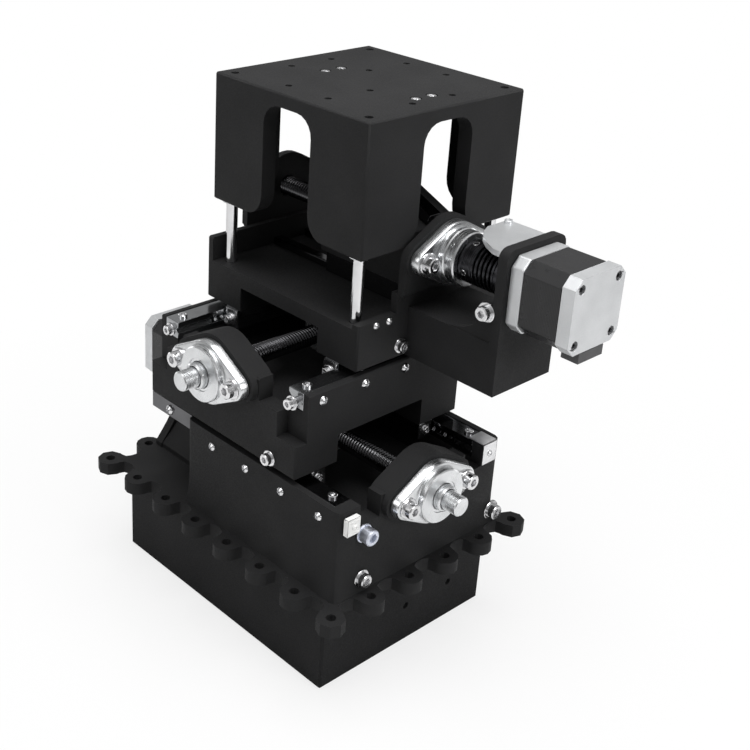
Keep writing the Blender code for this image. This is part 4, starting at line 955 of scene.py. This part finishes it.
for name, build, body in (("lower_rail_screws", lower_rail_screws, "base"),
                          ("middle_rail_screws", middle_rail_screws, "middle_stage")):
    new_piece(name, build, bolt_steel, body)
print("rail screws made")

# %% [markdown]
# ## Plates on the guides
# A plate is a cube, stretched between two corners and bevelled. It could be skinned
# like the rest, but a cube needs no outline.

# %% Plates on the guides
# A slider's distance from the screw, half its length, and its end plate's measures
SLIDER_OFFSET = 0.044
SLIDER_HALF = 0.061
PLATE_THICK = 0.0012
PLATE_HALF = 0.0052


def thin_plate(bm, corner, opposite):
    """A flat plate between two corners."""
    size = [abs(v) for v in Vector(opposite) - Vector(corner)]
    middle = (Vector(opposite) + Vector(corner)) / 2
    place = Matrix.Translation(middle) @ Matrix.Diagonal((*size, 1.0))
    made = bmesh.ops.create_cube(bm, size=1.0, matrix=place)
    edges = dict.fromkeys(edge for vert in made["verts"] for edge in vert.link_edges)
    bmesh.ops.bevel(bm, geom=list(edges), offset=min(size) * 0.25, segments=2,
                    affect="EDGES", profile=0.5)


def middle_slider_ends(bm):
    for y in (-SLIDER_OFFSET, SLIDER_OFFSET):
        for way in (1, -1):
            x = CENTRE_X + way * SLIDER_HALF
            thin_plate(bm, (x, y - PLATE_HALF, 0.1090),
                       (x + way * PLATE_THICK, y + PLATE_HALF, 0.1205))
            place = facing((x + way * 0.001, y, 0.1140), (way, 0.0, 0.0))
            socket_screw(bm, place, 0.0027, 0.0020, 0.0013, 0.0012)


def upper_slider_ends(bm):
    for x in (CENTRE_X - SLIDER_OFFSET, CENTRE_X + SLIDER_OFFSET):
        for way in (-1, 1):
            y = CENTRE_Y + way * SLIDER_HALF
            thin_plate(bm, (x - PLATE_HALF, y, 0.1620),
                       (x + PLATE_HALF, y + way * PLATE_THICK, 0.1735))
            place = facing((x - 0.0005, y + way * 0.001, 0.1665), (0.0, way, 0.0))
            bolt_with_washer(bm, place, 0.85)


def rail_end_plate(bm):
    """A bent plate on the left rail's end: one leg on top, one down the wall."""
    thick, low_y, high_y = 0.0007, 0.0503, 0.0620
    outside, top = END_FACE + 0.0004, 0.1197
    thin_plate(bm, (0.0855, low_y, top - thick), (outside, high_y, top))
    thin_plate(bm, (outside - thick, low_y, 0.1060), (outside, high_y, top))
    small_screw(bm, (outside, 0.0560, 0.1125), PLUS_X, 0.7)


for name, build, finish, body in (
        ("middle_slider_ends", middle_slider_ends, bolt_steel, "middle_stage"),
        ("upper_slider_ends", upper_slider_ends, bolt_steel, "upper_stage"),
        ("rail_end_plate", rail_end_plate, plate_steel, "base")):
    new_piece(name, build, finish, body)
print("guide plates made")

# %% [markdown]
# ## End switch
# The white block on the corner is the end switch: its case has a screw and two fine
# ribs. Below it a short thick screw with a blue-white coating can be set against the
# moving body. The helpers that made the guides' plates and screws make these as well.

# %% Switch details
def switch_face(bm):
    face = 0.1009
    small_screw(bm, (face, -0.0580, 0.1105), PLUS_X, 0.7)
    for z in (0.1068, 0.1142):
        thin_plate(bm, (face - 0.0001, -0.0615, z - 0.0003),
                   (face + 0.0004, -0.0545, z + 0.0003))


def stop_below_switch(bm):
    place = facing((END_FACE - 0.0002, -0.0464, 0.1000), PLUS_X)
    washer(bm, place, 0.0020, 0.0056, 0.0009)
    socket_screw(bm, place @ Matrix.Translation((0.0, 0.0, 0.0008)), 0.0048, 0.0066,
                 0.0024, 0.0026)


new_piece("switch_face", switch_face, switch_plastic, "base")
new_piece("stop_below_switch", stop_below_switch, tinted_steel, "base")
print("switch details made")

# %% [markdown]
# ## Table screws
# Four bright cap screws sit sunk in the table's top, two by two. The solid has their
# pockets already, so each head is only set 3 mm below the top. The top's height is
# taken from the model's box, and not written down a second time.

# %% Table screws
def table_screws(bm):
    seat = model_box[1][2] - 0.003
    for x in (-0.030, 0.0425):
        for y in (-0.0064, 0.0064):
            place = facing((CENTRE_X + x, CENTRE_Y + y, seat), UP)
            socket_screw(bm, place, 0.0030, 0.0028, 0.00135, 0.0016)


new_piece("table_top_screws", table_screws, bolt_steel, "table_unit")
print("table screws made")

# %% [markdown]
# ## Motor screws
# A motor has four long screws in the corner pockets of its end cap, and four short
# ones that hold it to the bracket from inside. The three motors are alike, so each set
# is placed in the stage's own axes by one function.

# %% Motor screws
MOTOR_END = 0.1714
MOTOR_SCREW_OFFSET = 0.0155


def motor_screws(bm, axes, seat, corners, way, *head):
    """Screws in some corners of the motor's square, at a seat along its axis."""
    direction = axes.to_3x3() @ Vector((way, 0.0, 0.0))
    for a, b in corners:
        corner = Vector((seat, a * MOTOR_SCREW_OFFSET, b * MOTOR_SCREW_OFFSET))
        socket_screw(bm, facing(axes @ corner, direction), *head, 18)


def cap_screws(bm, axes):
    motor_screws(bm, axes, MOTOR_END - 0.0024, CORNERS, 1.0, 0.0022, 0.0016, 0.0011,
                 0.0009)


def bracket_screws(bm, stage):
    """Where a guard's posts cover the bracket, the two upper screws sit on them."""
    for b in (-1, 1):
        on_post = b > 0 and stage != "lower"
        seat = POST_FACE if on_post else BRACKET_FACE
        motor_screws(bm, STAGE_AXES[stage], seat, [(-1, b), (1, b)], -1.0, 0.0027, 0.0026,
                     0.00125, 0.0014)


for stage in STAGES:
    # The cap screws' dark finish is painted shade of the pockets they sit in
    new_piece(stage + "_cap_screws", lambda bm: cap_screws(bm, STAGE_AXES[stage]),
              pocket_shade_steel, FIXED_BODY[stage])
    new_piece(stage + "_bracket_screws", lambda bm: bracket_screws(bm, stage), bolt_steel,
              FIXED_BODY[stage])
print("motor screws made")

# %% [markdown]
# ## Floor
# The photograph's ground is plain white. A white floor alone would look grey, so to the
# camera it glows: near the machine for the most part, so that a soft shadow stays, and
# fully from 0.42 m outwards.

# %% Floor
def pale_floor():
    """A wide plane just below the machine, white but for the machine's shadow."""
    bm = bmesh.new()
    half, height = 3.0, -0.0002
    corners = [bm.verts.new((x, y, height)) for x, y in
               ((-half, -half), (half, -half), (half, half), (-half, half))]
    bm.faces.new(corners)
    mesh = bpy.data.meshes.new("floor")
    bm.to_mesh(mesh)
    bm.free()
    floor = bpy.data.objects.new("floor", mesh)
    scene.collection.objects.link(floor)
    material = bpy.data.materials.new("pale_floor")
    material.use_nodes = True
    tree = material.node_tree
    tree.nodes.clear()
    output = tree.nodes.new("ShaderNodeOutputMaterial")
    matt = tree.nodes.new("ShaderNodeBsdfDiffuse")
    matt.inputs["Color"].default_value = (0.7, 0.7, 0.7, 1.0)
    glow = tree.nodes.new("ShaderNodeEmission")
    path = tree.nodes.new("ShaderNodeLightPath")
    spot = tree.nodes.new("ShaderNodeTexCoord")
    reach = tree.nodes.new("ShaderNodeVectorMath")
    reach.operation = "LENGTH"
    tree.links.new(spot.outputs["Object"], reach.inputs[0])
    fade = ramp_between(tree, reach.outputs["Value"], 0.78, 1.0, 0.12, 0.42)
    share = tree.nodes.new("ShaderNodeMath")
    share.operation = "MULTIPLY"
    tree.links.new(path.outputs["Is Camera Ray"], share.inputs[0])
    tree.links.new(fade, share.inputs[1])
    mix = tree.nodes.new("ShaderNodeMixShader")
    tree.links.new(share.outputs["Value"], mix.inputs["Fac"])
    tree.links.new(matt.outputs["BSDF"], mix.inputs[1])
    tree.links.new(glow.outputs["Emission"], mix.inputs[2])
    tree.links.new(mix.outputs["Shader"], output.inputs["Surface"])
    mesh.materials.append(material)


pale_floor()
print("floor made")

# %% [markdown]
# ## World
# The machine is black, so the picture lives from what its edges and metals reflect: a
# bright, even room that is darker below. A picture of a studio could light it too, but
# a ramp of greys needs no file. The camera sees plain white instead of it.

# %% World
world = bpy.data.worlds.new("studio")
scene.world = world
world.use_nodes = True
tree = world.node_tree
tree.nodes.clear()
output = tree.nodes.new("ShaderNodeOutputWorld")
room = tree.nodes.new("ShaderNodeBackground")
white = tree.nodes.new("ShaderNodeBackground")
room.inputs["Strength"].default_value = 0.52
white.inputs["Color"].default_value = (1.0, 1.0, 1.0, 1.0)
direction = tree.nodes.new("ShaderNodeTexCoord")
split = tree.nodes.new("ShaderNodeSeparateXYZ")
tree.links.new(direction.outputs["Generated"], split.inputs["Vector"])
heights = tree.nodes.new("ShaderNodeValToRGB")
heights.color_ramp.elements[0].color = (0.35, 0.35, 0.35, 1.0)
heights.color_ramp.elements[1].position = 0.7
heights.color_ramp.elements[1].color = (1.0, 1.0, 1.0, 1.0)
tree.links.new(split.outputs["Z"], heights.inputs["Fac"])
tree.links.new(heights.outputs["Color"], room.inputs["Color"])
path = tree.nodes.new("ShaderNodeLightPath")
mix = tree.nodes.new("ShaderNodeMixShader")
tree.links.new(path.outputs["Is Camera Ray"], mix.inputs["Fac"])
tree.links.new(room.outputs["Background"], mix.inputs[1])
tree.links.new(white.outputs["Background"], mix.inputs[2])
tree.links.new(mix.outputs["Shader"], output.inputs["Surface"])
print("world made:", world.name)

# %% [markdown]
# ## Lamps
# The photograph's light is soft and comes mostly from above and from the right. A
# small lamp would draw hard shadows, so each is a wide square. The left lamp fills the
# other side, and two weak low ones behind keep the dark flanks apart from each other
# when the machine is seen from there.

# %% Lamps
def soft_lamp(name, location, power, size):
    """A square lamp that looks at the machine's middle."""
    data = bpy.data.lights.new(name, "AREA")
    data.shape = "SQUARE"
    data.size = size
    data.energy = power
    lamp = bpy.data.objects.new(name, data)
    lamp.location = location
    aim = Vector((0.0, 0.0, 0.15)) - Vector(location)
    lamp.rotation_euler = aim.to_track_quat("-Z", "Y").to_euler()
    scene.collection.objects.link(lamp)


soft_lamp("top_lamp", (0.1, 0.0, 1.3), 15.0, 0.9)
soft_lamp("left_lamp", (-0.3, -1.2, 0.8), 3.2, 0.7)
soft_lamp("right_lamp", (1.3, 0.2, 0.7), 7.0, 0.6)
soft_lamp("back_lamp", (-1.4, 0.1, 0.3), 2.2, 0.6)
soft_lamp("far_lamp", (-0.1, 1.5, 0.3), 2.2, 0.6)
